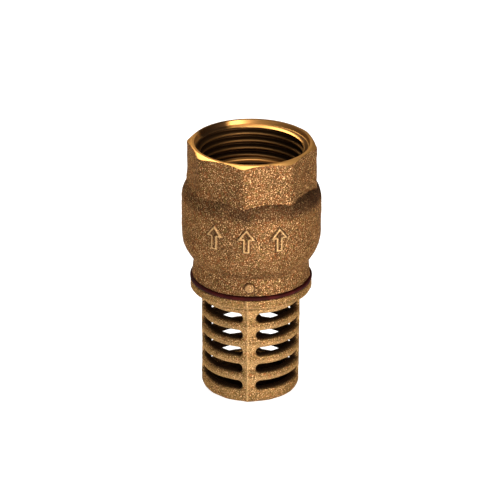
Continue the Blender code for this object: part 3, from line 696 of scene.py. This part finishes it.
def slot_outline(half, radius):
    """Slot outline as (turn, height) arrays, anticlockwise from the lower left corner of its round end."""
    octant = np.linspace(0.0, math.pi / 4, CELL_ARC + 1)[:-1]
    straight = np.linspace(-SLOT_REACH, SLOT_REACH, CELL_STRAIGHT + 1)[:-1]
    along, up = [], []

    def add_octants(centre, *starts):
        for start in starts:
            angles = math.radians(start) + octant
            along.extend(centre + half / radius * np.cos(angles))
            up.extend(half * np.sin(angles))

    add_octants(-SLOT_REACH, 225)
    along.extend(straight)
    up.extend(0 * straight - half)
    add_octants(SLOT_REACH, 270, 315, 0, 45)
    along.extend(-straight)
    up.extend(0 * straight + half)
    add_octants(-SLOT_REACH, 90, 135, 180)
    return np.array(along), np.array(up)


def cell_outline(left, right):
    """Outline of the wall around one slot, with as many points as the slot's outline."""
    across = np.linspace(left, right, CELL_STRAIGHT + 2 * CELL_ARC + 1)[:-1]
    side = np.linspace(-0.5, 0.5, 2 * CELL_ARC + 1)[:-1] * SLOT_SPACING
    half = SLOT_SPACING / 2
    along = [across, 0 * side + right, across[::-1] + (across[1] - across[0]), 0 * side + left]
    up = [0 * across - half, side, 0 * across + half, -side]
    return np.concatenate(along), np.concatenate(up)


def cell_rings(left, right, middle):
    """Rings from the wall's outside, over the slot's rounded lip, through it, and out to the wall's inside.

    Each is (turn, height, depth below the outside, share of the way to the plain round inside).
    """
    cell_along, cell_up = cell_outline(left, right)
    rings = []

    def blend(share, half, radius, depth, inward):
        slot_along, slot_up = slot_outline(half, radius)
        along = cell_along + (slot_along + middle - cell_along) * share
        rings.append((along, cell_up + (slot_up - cell_up) * share, depth, inward))

    for share in (0.0, 0.22, 0.42, 0.60, 0.76, 0.89, 1.0):
        blend(share, SLOT_OUTER_HALF + SLOT_LIP, SLOT_WALL_R, 0.0, 0.0)
    for degrees in (22, 45, 67, 90):
        a = math.radians(degrees)
        half = SLOT_OUTER_HALF + SLOT_LIP * (1 - math.sin(a))
        blend(1.0, half, SLOT_WALL_R, SLOT_LIP * (1 - math.cos(a)), 0.0)
    for share in (0.3, 0.65, 1.0):
        depth = SLOT_LIP + (WALL_DEPTH - SLOT_LIP - SLOT_INNER_LIP) * share
        half = SLOT_OUTER_HALF + (SLOT_INNER_HALF - SLOT_OUTER_HALF) * share
        blend(1.0, half, SLOT_WALL_R - depth, depth, share)
    for degrees in (45, 90):
        a = math.radians(degrees)
        half = SLOT_INNER_HALF + SLOT_INNER_LIP * (1 - math.cos(a))
        blend(1.0, half, BASKET_INNER_R, WALL_DEPTH - SLOT_INNER_LIP * (1 - math.sin(a)), 1.0)
    for share in (0.66, 0.33, 0.0):
        blend(share, SLOT_INNER_HALF + SLOT_INNER_LIP, BASKET_INNER_R, WALL_DEPTH, 1.0)
    return rings


def slot_cell(rings, row):
    """Points and masks of one slot and the wall round it. The upper lip and the lowest row's inner lower lip
    get painted highlight, the depth painted shade.
    """
    points, painted_shade, painted_highlight = [], [], []
    for along, up, depth, inward in rings:
        z = SLOT_FIRST_Z + row * SLOT_SPACING + up
        outside = basket_outside(along, z)
        points.append(turned_points(outside - depth + (BASKET_TOP_R - outside) * inward, along, z))
        upper = ease(up / MM + 0.5)
        # Painted shadow: the slot darkens with depth, soonest on its lower side, which lies in the shadow of
        # the bar above; the lowest row's inner lower lip is kept lighter as a painted highlight.
        hollow_shade = ease((depth - (0.42 * upper - 0.12) * MM) / (1.4 * MM))
        inner_lip_highlight = 0.75 * (row == 0) * (1 - upper) * (depth > WALL_DEPTH - 0.2 * MM)
        painted_shade.append(hollow_shade - inner_lip_highlight)
        # Painted highlight on the slot's upper lip and along the mould ridge.
        lip = SLOT_LIP_HIGHLIGHT * upper * bell(depth, 0.17 * MM, 0.15 * MM) * (inward == 0)
        painted_highlight.append(np.maximum(lip, RIDGE_HIGHLIGHT * ridge_line(along) * (depth == 0)))
    return np.concatenate(points), np.concatenate(painted_shade), np.concatenate(painted_highlight)


def turned_rows(rows, turn):
    """Radius and height from rows of (radius or None, height, inset), where None is the wall's outside."""
    z = np.array([row[1] for row in rows])[:, None] + 0 * turn
    radius = [basket_outside(turn[0], z[i]) - inset if fixed is None else fixed + 0 * turn[0]
              for i, (fixed, _, inset) in enumerate(rows)]
    return np.stack(radius), z


def in_metres(pairs):
    """Rows with no inset from (radius, height) pairs in millimetres."""
    return [(radius * MM, z * MM, 0.0) for radius, z in pairs]


def basket_foot(turn):
    """Underside, its rounded edge and the wall below the slots."""
    rows = [(radius * MM, 0.0, 0.0) for radius in (0.05, 4, 8, 11)]
    rows += [(None, BASKET_FOOT_ROUND * (1 - math.cos(a)), BASKET_FOOT_ROUND * (1 - math.sin(a)))
             for a in np.linspace(0.0, math.pi / 2, 8)]
    rows += [(None, 2.5 * MM, 0.0), (None, WALL_LOW_Z, 0.0)]
    return [(*turned_rows(rows, turn), 0.0, 0.0)]


def basket_top(turn):
    """Wall above the slots, flange, spigot with its thread, seat, bore and the wall's inside."""
    low, high = FLANGE_LOW_Z, FLANGE_HIGH_Z
    rows = [(None, z, 0.0) for z in (WALL_HIGH_Z, 31.0 * MM, 31.4 * MM, 31.7 * MM, 31.9 * MM)]
    rows += [(None, low - FLANGE_FILLET * (1 - math.sin(a)), -FLANGE_FILLET * (1 - math.cos(a)))
             for a in (0.4, 0.8, 1.2, 1.5)]
    lower_edge = ((-2.0, 0.0), (-1.0, 0.0), (-0.5, 0.0), (-0.2, 0.06), (-0.05, 0.2), (0.0, 0.45))
    rows += [(FLANGE_R + r * MM, low + z * MM, 0.0) for r, z in lower_edge]
    rows += [(FLANGE_R, z, 0.0) for z in np.linspace(low + 0.8 * MM, high - 0.9 * MM, 4)]
    rows += [(FLANGE_R - FLANGE_ROUND * (1 - math.cos(a)), high - FLANGE_ROUND * (1 - math.sin(a)), 0.0)
             for a in np.linspace(0.0, math.pi / 2, 6)]
    flange_face = [(16.5 * MM, high, 0.0), (14.0 * MM, high, 0.0), (13.8 * MM, high + 0.2 * MM, 0.0)]
    thread_z = np.arange(36.4, 43.0, 0.21)[:, None] * MM
    fade = ease((thread_z / MM - 36.5) / 0.7) * ease((43.0 - thread_z / MM) / 0.6)
    thread = JOINT_DEPTH * (1 - helix_profile(turn, thread_z, JOINT_PITCH, JOINT_CREST_Z)) * fade
    seat = [(13.9, 42.95), (13.7, 43.05), (12.3, 43.05), (12.0, 43.2), (11.9, 43.5), (11.75, 43.6)]
    bore = [(11.2, 43.6), (10.75, 43.6), (10.5, 43.4), (10.5, 41.0), (10.5, 38.0), (10.5, 35.0), (10.5, 33.4)]
    inside = [(10.6, 32.9), (11.3, 32.2), (12.0, 31.5), (12.1, 31.2), (12.1, WALL_HIGH_Z / MM)]
    # Painted shade: the flange's top face, the spigot's thread, the seat and the bore a little, the wall's
    # inside heavily.
    return [
        (*turned_rows(rows, turn), 0.0, 0.0),
        (*turned_rows(flange_face, turn), 1.0, 0.4),
        (JOINT_MINOR_R + thread, thread_z, 1.0, 0.35),
        (*turned_rows(in_metres(seat + bore), turn), 1.0, 0.2),
        (*turned_rows(in_metres(inside), turn), 0.0, 0.9),
    ]


def basket_floor(turn):
    """Inside of the wall below the slots, and the floor."""
    corner = [(12.1, WALL_LOW_Z / MM), (12.05, 2.8), (11.8, 2.55), (11.3, 2.5)]
    floor = [(radius, 2.5) for radius in (8.0, 4.0, 0.05)]
    # Painted shade over the inside of the wall and the floor.
    return [(*turned_rows(in_metres(corner + floor), turn), 0.0, 0.9)]


def sealed(mesh, weld):
    """Weld points closer than this and close the openings that are left."""
    bm = bmesh.new()
    bm.from_mesh(mesh)
    bmesh.ops.remove_doubles(bm, verts=bm.verts[:], dist=weld)
    bmesh.ops.holes_fill(bm, edges=[e for e in bm.edges if e.is_boundary], sides=0)
    bm.to_mesh(mesh)
    bm.free()
    return mesh


def strainer_mesh():
    patches = []
    for column in range(4):
        middle = BASKET_RIB_TURN + math.pi / 2 * (column + 0.5)
        rings = cell_rings(BASKET_RIB_LINES[column], BASKET_RIB_LINES[column + 1], middle)
        faces = grid_faces(len(rings), len(rings[0][0]), closed=False)
        for row in range(SLOT_ROWS):
            points, painted_shade, painted_highlight = slot_cell(rings, row)
            patches.append((points, faces, 0 * painted_shade, painted_shade, painted_highlight))

    # The turned stretches have the same columns as the slotted wall
    columns = CELL_STRAIGHT + 2 * CELL_ARC
    turn = np.concatenate([np.linspace(left, right, columns, endpoint=False)
                           for left, right in zip(BASKET_RIB_LINES, BASKET_RIB_LINES[1:])])[None, :]
    for stretches in (basket_foot(turn), basket_top(turn), basket_floor(turn)):
        radius, z, machined, painted_shade = stacked(stretches)
        crest = ridge_line(turn) * (1 - machined) * (painted_shade == 0)
        lip = (radius > FLANGE_R - 0.4 * MM) * bell(z, FLANGE_LOW_Z + 0.25 * MM, 0.22 * MM)
        radius = radius + FLANGE_CREST_RELIEF * crest * (radius > 15.5 * MM)
        shadow = (radius < 15.0 * MM) * (1 - machined) * bell(z, 31.2 * MM, 0.5 * MM)
        painted_shade = np.maximum(painted_shade, 0.7 * shadow)
        # Painted highlight along the mould ridge, and a painted reflection on the flange's lower edge.
        painted_highlight = np.maximum(RIDGE_HIGHLIGHT * crest, FLANGE_LIP_HIGHLIGHT * lip)
        points = turned_points(radius, turn, z).reshape(-1, 3)
        faces = grid_faces(*radius.shape, closed=False)
        patches.append((points, faces, machined.ravel(), painted_shade.ravel(), painted_highlight.ravel()))

    starts = np.cumsum([0] + [len(patch[0]) for patch in patches])
    patches = [(points, faces + start, *masks) for (points, faces, *masks), start in zip(patches, starts)]
    points, faces, machined, painted_shade, painted_highlight = (np.concatenate(part) for part in zip(*patches))
    out = points * (1.0, 1.0, 0.0)
    out /= np.maximum(np.linalg.norm(out, axis=1, keepdims=True), 1e-9)
    points = points + out * (cast_skin(points, BASKET_SKIN) * (1 - machined))[:, None]
    mesh = bpy.data.meshes.new("strainer_basket_casting")
    mesh.from_pydata(points.tolist(), [], faces.tolist())
    add_masks(mesh, {"machined": machined, "painted_shade": painted_shade, "painted_highlight": painted_highlight})
    return sealed(mesh, 0.004 * MM)


basket_bronze = cast_bronze("strainer_bronze", BASKET_TONES, 0.3)
show("strainer_basket_casting", strainer_mesh(), basket_bronze, "housing", ["strainer_basket"])

# ---------------------------------------------------------------------------
# Guide bridge. Part of the body's casting: a hub in the throat, on three arms that
# thicken into the hub and the throat's wall. The hub's bore and ends are machined.

HUB_R = 6.0 * MM
HUB_BORE_R = 4.6 * MM
HUB_LOW_Z = 58.2 * MM
HUB_HIGH_Z = 66.2 * MM
ARM_LOW_Z = 62.1 * MM
ARM_HIGH_Z = 65.6 * MM
ARMS = 3
ARM_STATIONS = ((5.0, 1.9), (7.0, 1.6), (11.0, 1.6), (14.4, 2.3))   # millimetres: distance out, half width
BRIDGE_FACET = 0.22 * MM
# painted shade over the whole bridge, which stands in the throat
BRIDGE_PAINTED_SHADE = 0.35


def all_round(columns):
    """Directions of evenly spaced columns."""
    return np.linspace(0.0, math.tau, columns, endpoint=False)[None, :]


def bridge_rough_mesh():
    """Hub and arms with sharp corners, pushed into each other."""
    turn = all_round(96)
    radii, levels = (HUB_R, HUB_R, HUB_BORE_R, HUB_BORE_R), (HUB_LOW_Z, HUB_HIGH_Z, HUB_HIGH_Z, HUB_LOW_Z)
    hub = grid_mesh("hub", np.array(radii)[:, None] + 0 * turn, turn, np.array(levels)[:, None] + 0 * turn)
    bm = bmesh.new()
    bm.from_mesh(hub)
    for arm in range(ARMS):
        spin = Matrix.Rotation(math.tau * arm / ARMS, 3, "Z")
        sections = []
        for out, half in ARM_STATIONS:
            corners = ((-half, ARM_LOW_Z), (half, ARM_LOW_Z), (half, ARM_HIGH_Z), (-half, ARM_HIGH_Z))
            sections.append([bm.verts.new(spin @ Vector((x * MM, out * MM, z))) for x, z in corners])
        bm.faces.new(sections[0])
        bm.faces.new(sections[-1])
        for near, far in zip(sections, sections[1:]):
            for i in range(4):
                bm.faces.new((near[i], near[i - 1], far[i - 1], far[i]))
    bmesh.ops.recalc_face_normals(bm, faces=bm.faces[:])
    bm.to_mesh(hub)
    bm.free()
    return hub


def bridge_mesh():
    """One skin over hub and arms, with its inner corners filled as in a casting."""
    rough = bpy.data.objects.new("bridge_rough", bridge_rough_mesh())
    bpy.context.scene.collection.objects.link(rough)
    skin = rough.modifiers.new("skin", "REMESH")
    skin.mode = "VOXEL"
    skin.voxel_size = BRIDGE_FACET
    fillet = rough.modifiers.new("fillet", "SMOOTH")
    fillet.factor = 0.5
    fillet.iterations = 7
    mesh = bpy.data.meshes.new_from_object(rough.evaluated_get(bpy.context.evaluated_depsgraph_get()))
    bpy.data.objects.remove(rough)

    points = np.empty(len(mesh.vertices) * 3)
    mesh.vertices.foreach_get("co", points)
    points = points.reshape(-1, 3)
    reach = np.hypot(points[:, 0], points[:, 1])
    from_middle = np.abs(points[:, 2] - (HUB_LOW_Z + HUB_HIGH_Z) / 2)
    half_height = (HUB_HIGH_Z - HUB_LOW_Z) / 2
    bore = (reach < HUB_BORE_R + 0.5 * MM) & (from_middle < half_height - 0.2 * MM)
    scale = np.where(bore, HUB_BORE_R / reach, 1 + 0.03 * MM / reach * swell(points, 2.5 * MM, 21))
    points[:, :2] *= scale[:, None]
    mesh.vertices.foreach_set("co", points.ravel())
    end = (reach < HUB_R + 0.1 * MM) & (from_middle > half_height - 0.15 * MM)
    add_masks(mesh, {"machined": bore | end, "painted_shade": np.full(len(points), BRIDGE_PAINTED_SHADE)})
    return mesh


bridge_bronze = cast_bronze("guide_bridge_bronze", BODY_TONES, 0.6)
show("guide_bridge_casting", bridge_mesh(), bridge_bronze, "housing", [])

# ---------------------------------------------------------------------------
# Joint gasket. A ring of dark red fibre squeezed between the collar and the
# basket's flange, so that its edge stands out a little, and unevenly.

GASKET_LOW_Z = FLANGE_HIGH_Z + 0.03 * MM
GASKET_HIGH_Z = BODY_BOTTOM_Z - 0.03 * MM
GASKET_INNER_R = 14.85 * MM
GASKET_OUTER_R = 17.95 * MM
GASKET_BULGE_R = 18.22 * MM                   # half way up its edge
GASKET_REDS = ((0.020, 0.0015, 0.0012), (0.042, 0.0035, 0.0030))
GASKET_STRAND = (0.09, 0.015, 0.010)


def rounded(corners, radius, steps=4):
    """Closed outline of (distance from the axis, height) corners, each rounded off.

    A point just before and after each round keeps the flats beside it flat.
    """
    outline = []
    for i, corner in enumerate(np.array(corners, float)):
        back = np.array(corners[i - 1]) - corner
        ahead = np.array(corners[(i + 1) % len(corners)]) - corner
        back_share = min(0.42, radius / np.linalg.norm(back))
        ahead_share = min(0.42, radius / np.linalg.norm(ahead))
        near, far = corner + back * back_share, corner + ahead * ahead_share
        outline.append(corner + back * back_share * 1.15)
        for s in np.linspace(0.0, 1.0, steps + 1):
            outline.append((1 - s) ** 2 * near + 2 * s * (1 - s) * corner + s ** 2 * far)
        outline.append(corner + ahead * ahead_share * 1.15)
    return np.array(outline)


def ring_mesh(name, outline, columns=144, unevenness=0.0, seed=0):
    """Ring turned from a closed outline that runs up its outside and down its bore."""
    turn = all_round(columns)
    radius, z = outline[:, :1] + 0 * turn, outline[:, 1:] + 0 * turn
    if unevenness:
        radius = radius + unevenness * swell(turned_points(radius, turn, z), 7 * MM, seed)
    return grid_mesh(name, radius, turn, z)


def fibre(name):
    finish = Finish(name, specular_ior_level=0.08)
    strands = finish.noise(finish.place(), 0.25 * MM, 3.0, 0.6)
    patch = finish.noise(finish.place(), 4 * MM, 2.0)
    colour = finish.mix(finish.step(patch, 0.35, 0.7), *GASKET_REDS)
    colour = finish.mix(finish.step(strands, 0.55, 0.8) * 0.4, colour, GASKET_STRAND)
    relief = finish.bump(strands, 0.05 * MM)
    return finish.surface(base_color=colour, roughness=0.55 + 0.3 * strands, normal=relief)


gasket_outline = rounded([
    (GASKET_OUTER_R, GASKET_LOW_Z), (GASKET_BULGE_R, (GASKET_LOW_Z + GASKET_HIGH_Z) / 2),
    (GASKET_OUTER_R, GASKET_HIGH_Z), (GASKET_INNER_R, GASKET_HIGH_Z), (GASKET_INNER_R, GASKET_LOW_Z),
], 0.3 * MM)
gasket_mesh = ring_mesh("joint_gasket_ring", gasket_outline, 220, 0.035 * MM, 31)
show("joint_gasket_ring", gasket_mesh, fibre("gasket_fibre"), "housing", ["joint_gasket"])

# ---------------------------------------------------------------------------
# Guide stem. A turned brass rod that slides in the bush. Its collar rests on the
# disc, and its lower end has an M6 thread for the nut that clamps the poppet.

STEM_THREAD_R = 2.45 * MM                     # at the thread's root
STEM_THREAD_DEPTH = 0.5 * MM
STEM_PITCH = 1.0 * MM
STEM_CREST_Z = 38.0 * MM
BRASS = np.array([(0.66, 0.42, 0.15), (0.82, 0.57, 0.24)])
DULL_BRASS = (0.36, 0.22, 0.10)


def turned_brass(name, tone):
    """Brass straight from the lathe, with fine rings all round its axis and a few dull patches."""
    finish = Finish(name, metallic=1.0)
    rings = finish.noise(finish.round_the_axis(), 0.10 * MM, 3.0, 0.7)
    coarse = finish.noise(finish.round_the_axis(), 0.45 * MM, 1.0)
    dull = finish.step(finish.noise(finish.place(), 3 * MM, 3.0, 0.6), 0.45, 0.75)
    colour = finish.mix(rings, *(tuple(shade) for shade in BRASS * tone))
    colour = finish.mix(dull * 0.3, colour, DULL_BRASS)
    rough = 0.26 + 0.10 * rings + 0.14 * dull
    relief = finish.bump(rings * 0.4 + coarse * 0.6, 0.008 * MM)
    return finish.surface(base_color=colour, roughness=rough, normal=relief)


def stem_mesh():
    """Rows of (radius, height) in millimetres up the stem. Both ends keep a lathe's centre hole."""
    turn = all_round(72)
    low_end = [(0.02, 34.75), (0.6, 34.42), (0.7, 34.4), (0.8, 34.4), (2.1, 34.4), (2.2, 34.4), (2.42, 34.6)]
    shank = [(3.0, 42.35), (3.0, 46.0), (3.0, 50.1), (3.05, 50.2)]
    collar = [(4.4, 50.2), (4.6, 50.35), (4.6, 50.75), (4.45, 50.9)]
    guide = [(3.15, 50.9), (3.0, 51.05), (3.0, 56.0), (3.0, 61.0), (3.0, 65.4), (2.93, 65.62)]
    top_end = [(2.5, 66.0), (2.4, 66.0), (0.8, 66.0), (0.7, 66.0), (0.6, 65.95), (0.02, 65.5)]

    def plain(rows):
        radius, z = (np.array(column)[:, None] * MM for column in zip(*rows))
        return radius + 0 * turn, z

    z = np.arange(34.9, 42.2, 0.1)[:, None] * MM
    thread = 1 - helix_profile(turn, z, STEM_PITCH, STEM_CREST_Z)
    fade = ease((z / MM - 34.7) / 0.6) * ease((42.2 - z / MM) / 0.8)
    threaded = (STEM_THREAD_R + STEM_THREAD_DEPTH * thread * fade, z)
    radius, z = stacked([plain(low_end), threaded, plain(shank + collar + guide + top_end)])
    return sealed(grid_mesh("guide_stem_rod", radius, turn, z, closed=False), 0.001 * MM)


show("guide_stem_rod", stem_mesh(), turned_brass("stem_brass", 1.0), "poppet", ["guide_stem"])

# ---------------------------------------------------------------------------
# Valve disc. Turned brass, with a boss for the stem's collar to rest on and a
# shallow web. It backs the rubber seal and carries the lower end of the spring.

DISC_CORNERS = (                              # millimetres: distance from the axis, height
    (12.5, 46.7), (13.0, 47.15), (13.0, 48.75), (12.5, 49.2), (11.7, 49.2), (11.4, 48.95), (9.0, 48.95),
    (8.8, 49.2), (5.6, 49.2), (5.6, 50.15), (3.2, 50.15), (3.2, 46.7),
)


def rounded_mm(corners, radius, steps=3):
    """Rounded outline from sizes in millimetres."""
    return rounded(np.array(corners) * MM, radius * MM, steps)


disc_mesh = ring_mesh("valve_disc_plate", rounded_mm(DISC_CORNERS, 0.12), 192)
disc_brass = turned_brass("disc_brass", 0.95)
show("valve_disc_plate", disc_mesh, disc_brass, "poppet", ["valve_disc"])

# ---------------------------------------------------------------------------
# Seat seal. A moulded black rubber washer under the disc. The raised bead on its
# underside presses on the seat's lip, and mould flash leaves its rim a little rough.

SEAL_CORNERS = (
    (12.4, 43.95), (12.4, 46.66), (3.2, 46.66), (3.2, 43.9),
    (10.5, 43.9), (10.85, 43.64), (11.6, 43.64), (11.9, 43.95),     # the bead
)
SEAL_BLACK = (0.010, 0.010, 0.011)
SEAL_BLOOM = (0.035, 0.034, 0.032)            # greyer where the rubber has bloomed


def rubber(name):
    finish = Finish(name)
    skin = finish.noise(finish.place(), 0.3 * MM, 3.0)
    bloom = finish.step(finish.noise(finish.place(), 2.5 * MM, 3.0, 0.6), 0.4, 0.8)
    colour = finish.mix(bloom * 0.6 + skin * 0.2, SEAL_BLACK, SEAL_BLOOM)
    relief = finish.bump(skin, 0.02 * MM)
    return finish.surface(base_color=colour, roughness=0.5 + 0.25 * bloom, normal=relief)


seal_mesh = ring_mesh("seat_seal_ring", rounded_mm(SEAL_CORNERS, 0.2, 4), 192, 0.02 * MM, 41)
show("seat_seal_ring", seal_mesh, rubber("seal_rubber"), "poppet", ["seat_seal"])

# ---------------------------------------------------------------------------
# Seal washer. A turned brass plate under the seal that clamps it to the disc. It is
# smaller than the seat's bore, so it hangs inside the seat.

CLAMP_CORNERS = ((9.2, 42.3), (9.5, 42.6), (9.5, 43.87), (3.2, 43.87), (3.2, 42.3))

clamp_mesh = ring_mesh("seal_washer_plate", rounded_mm(CLAMP_CORNERS, 0.12))
clamp_brass = turned_brass("washer_brass", 0.9)
show("seal_washer_plate", clamp_mesh, clamp_brass, "poppet", ["seal_washer"])

# ---------------------------------------------------------------------------
# Lock washer. A split ring of square stainless wire, its ends cut on a slant and
# sprung slightly apart, pressed between the nut and the seal washer.

LOCK_CORNERS = ((5.0, -0.45), (5.0, 0.45), (3.3, 0.45), (3.3, -0.45))    # heights from its middle
LOCK_MIDDLE_Z = 41.63 * MM
LOCK_SPLIT_TURN = math.radians(180.0)
LOCK_HALF_GAP = math.radians(6.2)
LOCK_SLANT = math.tan(math.radians(25.0))
LOCK_SPRING = 0.12 * MM                       # how far one end stands above the other
STEEL_TONES = ((0.34, 0.335, 0.32), (0.50, 0.495, 0.48))


def stainless(name, grain):
    """Bright stainless steel with fine drawing marks."""
    finish = Finish(name, metallic=1.0)
    marks = finish.noise(finish.round_the_axis(), grain, 3.0, 0.7)
    smear = finish.noise(finish.place(), 2 * MM, 3.0, 0.6)
    colour = finish.mix(marks * 0.6 + smear * 0.4, *STEEL_TONES)
    relief = finish.bump(marks, 0.006 * MM)
    return finish.surface(base_color=colour, roughness=0.30 + 0.2 * smear, normal=relief)


def lock_washer_mesh():
    outline = rounded_mm(LOCK_CORNERS, 0.1)
    start, stop = LOCK_SPLIT_TURN + LOCK_HALF_GAP, LOCK_SPLIT_TURN + math.tau - LOCK_HALF_GAP
    sweep = np.linspace(start, stop, 96)[None, :]
    share = np.linspace(-0.5, 0.5, 96)[None, :]
    radius = outline[:, :1] + 0 * sweep
    turn = sweep + outline[:, 1:] * LOCK_SLANT / radius
    z = LOCK_MIDDLE_Z + outline[:, 1:] + LOCK_SPRING * share
    return sealed(grid_mesh("lock_washer_ring", radius, turn, z, full_turn=False), 0.001 * MM)


lock_steel = stainless("lock_washer_steel", 0.15 * MM)
show("lock_washer_ring", lock_washer_mesh(), lock_steel, "poppet", ["lock_washer"])

# ---------------------------------------------------------------------------
# Stem nut. A hexagonal brass M6 nut, chamfered at both ends and countersunk, on the
# lower end of the stem.

NUT_LOW_Z = 35.8 * MM
NUT_HIGH_Z = 40.97 * MM
NUT_FLAT = 5.0 * MM                           # from the axis to a flat
NUT_FACE_R = 4.85 * MM                        # round face inside the chamfer
NUT_FACE_RINGS = (4.2, 3.5, 3.25)             # millimetres, in to the countersink
NUT_PLAY = 0.08 * MM


def nut_mesh():
    turn = all_round(180)
    z = heights(NUT_LOW_Z / MM, (37.0, 0.1), (39.8, 0.5), (NUT_HIGH_Z / MM, 0.1))
    hexagon = NUT_FLAT / np.cos((turn + math.pi / 6) % (math.pi / 3) - math.pi / 6)
    chamfer = NUT_FACE_R + math.sqrt(3) * np.minimum(z - NUT_LOW_Z, NUT_HIGH_Z - z)
    thread_z = heights(40.7, (36.0, 0.1))
    thread = 1 - helix_profile(turn, thread_z, STEM_PITCH, STEM_CREST_Z)
    radius, z = stacked([
        (np.minimum(hexagon, chamfer), z),
        flat_rows(NUT_FACE_RINGS, NUT_HIGH_Z, turn),
        (STEM_THREAD_R + NUT_PLAY + STEM_THREAD_DEPTH * thread, thread_z),
        flat_rows(NUT_FACE_RINGS[::-1], NUT_LOW_Z, turn),
    ])
    return grid_mesh("stem_nut_hexagon", radius, turn, z)


nut_brass = turned_brass("nut_brass", 1.0)
show("stem_nut_hexagon", nut_mesh(), nut_brass, "poppet", ["stem_nut"], 25.0)

# ---------------------------------------------------------------------------
# Guide bush. A flanged ivory plastic sleeve pushed up into the hub's bore, for the
# stem to slide in. Its flange stops it under the hub.

BUSH_CORNERS = (
    (5.6, 57.2), (5.6, 58.16), (4.4, 58.16), (4.4, 65.5),
    (4.2, 65.75), (3.3, 65.75), (3.2, 65.6), (3.2, 57.2),
)
IVORY_TONES = ((0.56, 0.52, 0.42), (0.68, 0.65, 0.56))


def plastic(name):
    finish = Finish(name)
    cloud = finish.noise(finish.place(), 3 * MM, 2.0)
    pores = finish.noise(finish.place(), 0.12 * MM, 2.0)
    colour = finish.mix(cloud, *IVORY_TONES)
    relief = finish.bump(pores, 0.008 * MM)
    return finish.surface(base_color=colour, roughness=0.38 + 0.15 * cloud, normal=relief)


bush_mesh = ring_mesh("guide_bush_sleeve", rounded_mm(BUSH_CORNERS, 0.15), 120)
show("guide_bush_sleeve", bush_mesh, plastic("bush_plastic"), "housing", ["guide_bush"])

# ---------------------------------------------------------------------------
# Spring seat washer. Pressed from thin stainless sheet, with its inner edge turned
# up against the arms of the bridge. The top of the spring pushes on it.

CUP_CORNERS = ((8.9, 61.05), (8.9, 61.6), (7.1, 61.6), (6.9, 62.05), (6.3, 62.05), (6.3, 61.05))

cup_mesh = ring_mesh("spring_seat_cup", rounded_mm(CUP_CORNERS, 0.12), 120)
cup_steel = stainless("seat_washer_steel", 0.2 * MM)
show("spring_seat_cup", cup_mesh, cup_steel, "housing", ["spring_seat_washer"])

# ---------------------------------------------------------------------------
# Return spring. Stainless wire of 0.8 mm coiled five times, with its end coils
# closed and ground flat. It shortens as the poppet lifts.

SPRING_LOW_Z = 49.23 * MM
SPRING_HIGH_Z = 61.0 * MM
SPRING_R = 7.6 * MM
SPRING_WIRE_R = 0.4 * MM
SPRING_COILS = 5.0
SPRING_GRIND = 0.28 * MM                      # ground off each end


def spring_mesh():
    coil = np.linspace(0.0, SPRING_COILS, 320)[None, :]
    around = np.linspace(0.0, math.tau, 14, endpoint=False)[:, None]
    low, high = SPRING_LOW_Z + SPRING_WIRE_R - SPRING_GRIND, SPRING_HIGH_Z - SPRING_WIRE_R + SPRING_GRIND
    closed_rise = 2 * SPRING_WIRE_R + SPRING_GRIND
    middle = low + closed_rise + (high - low - 2 * closed_rise) * (coil - 1) / (SPRING_COILS - 2)
    middle = np.where(coil < 1, low + closed_rise * coil, middle)
    middle = np.where(coil > SPRING_COILS - 1, high - closed_rise * (SPRING_COILS - coil), middle)
    radius = SPRING_R + SPRING_WIRE_R * np.cos(around) + 0 * coil
    z = np.clip(middle + SPRING_WIRE_R * np.sin(around), SPRING_LOW_Z, SPRING_HIGH_Z)
    turn = math.tau * coil + math.pi / 2 + 0 * around
    return sealed(grid_mesh("return_spring_coil", radius, turn, z, full_turn=False), 0.0005 * MM)


wire_steel = stainless("spring_steel", 0.1 * MM)
spring = show("return_spring_coil", spring_mesh(), wire_steel, "housing", ["return_spring"])
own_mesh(spring)
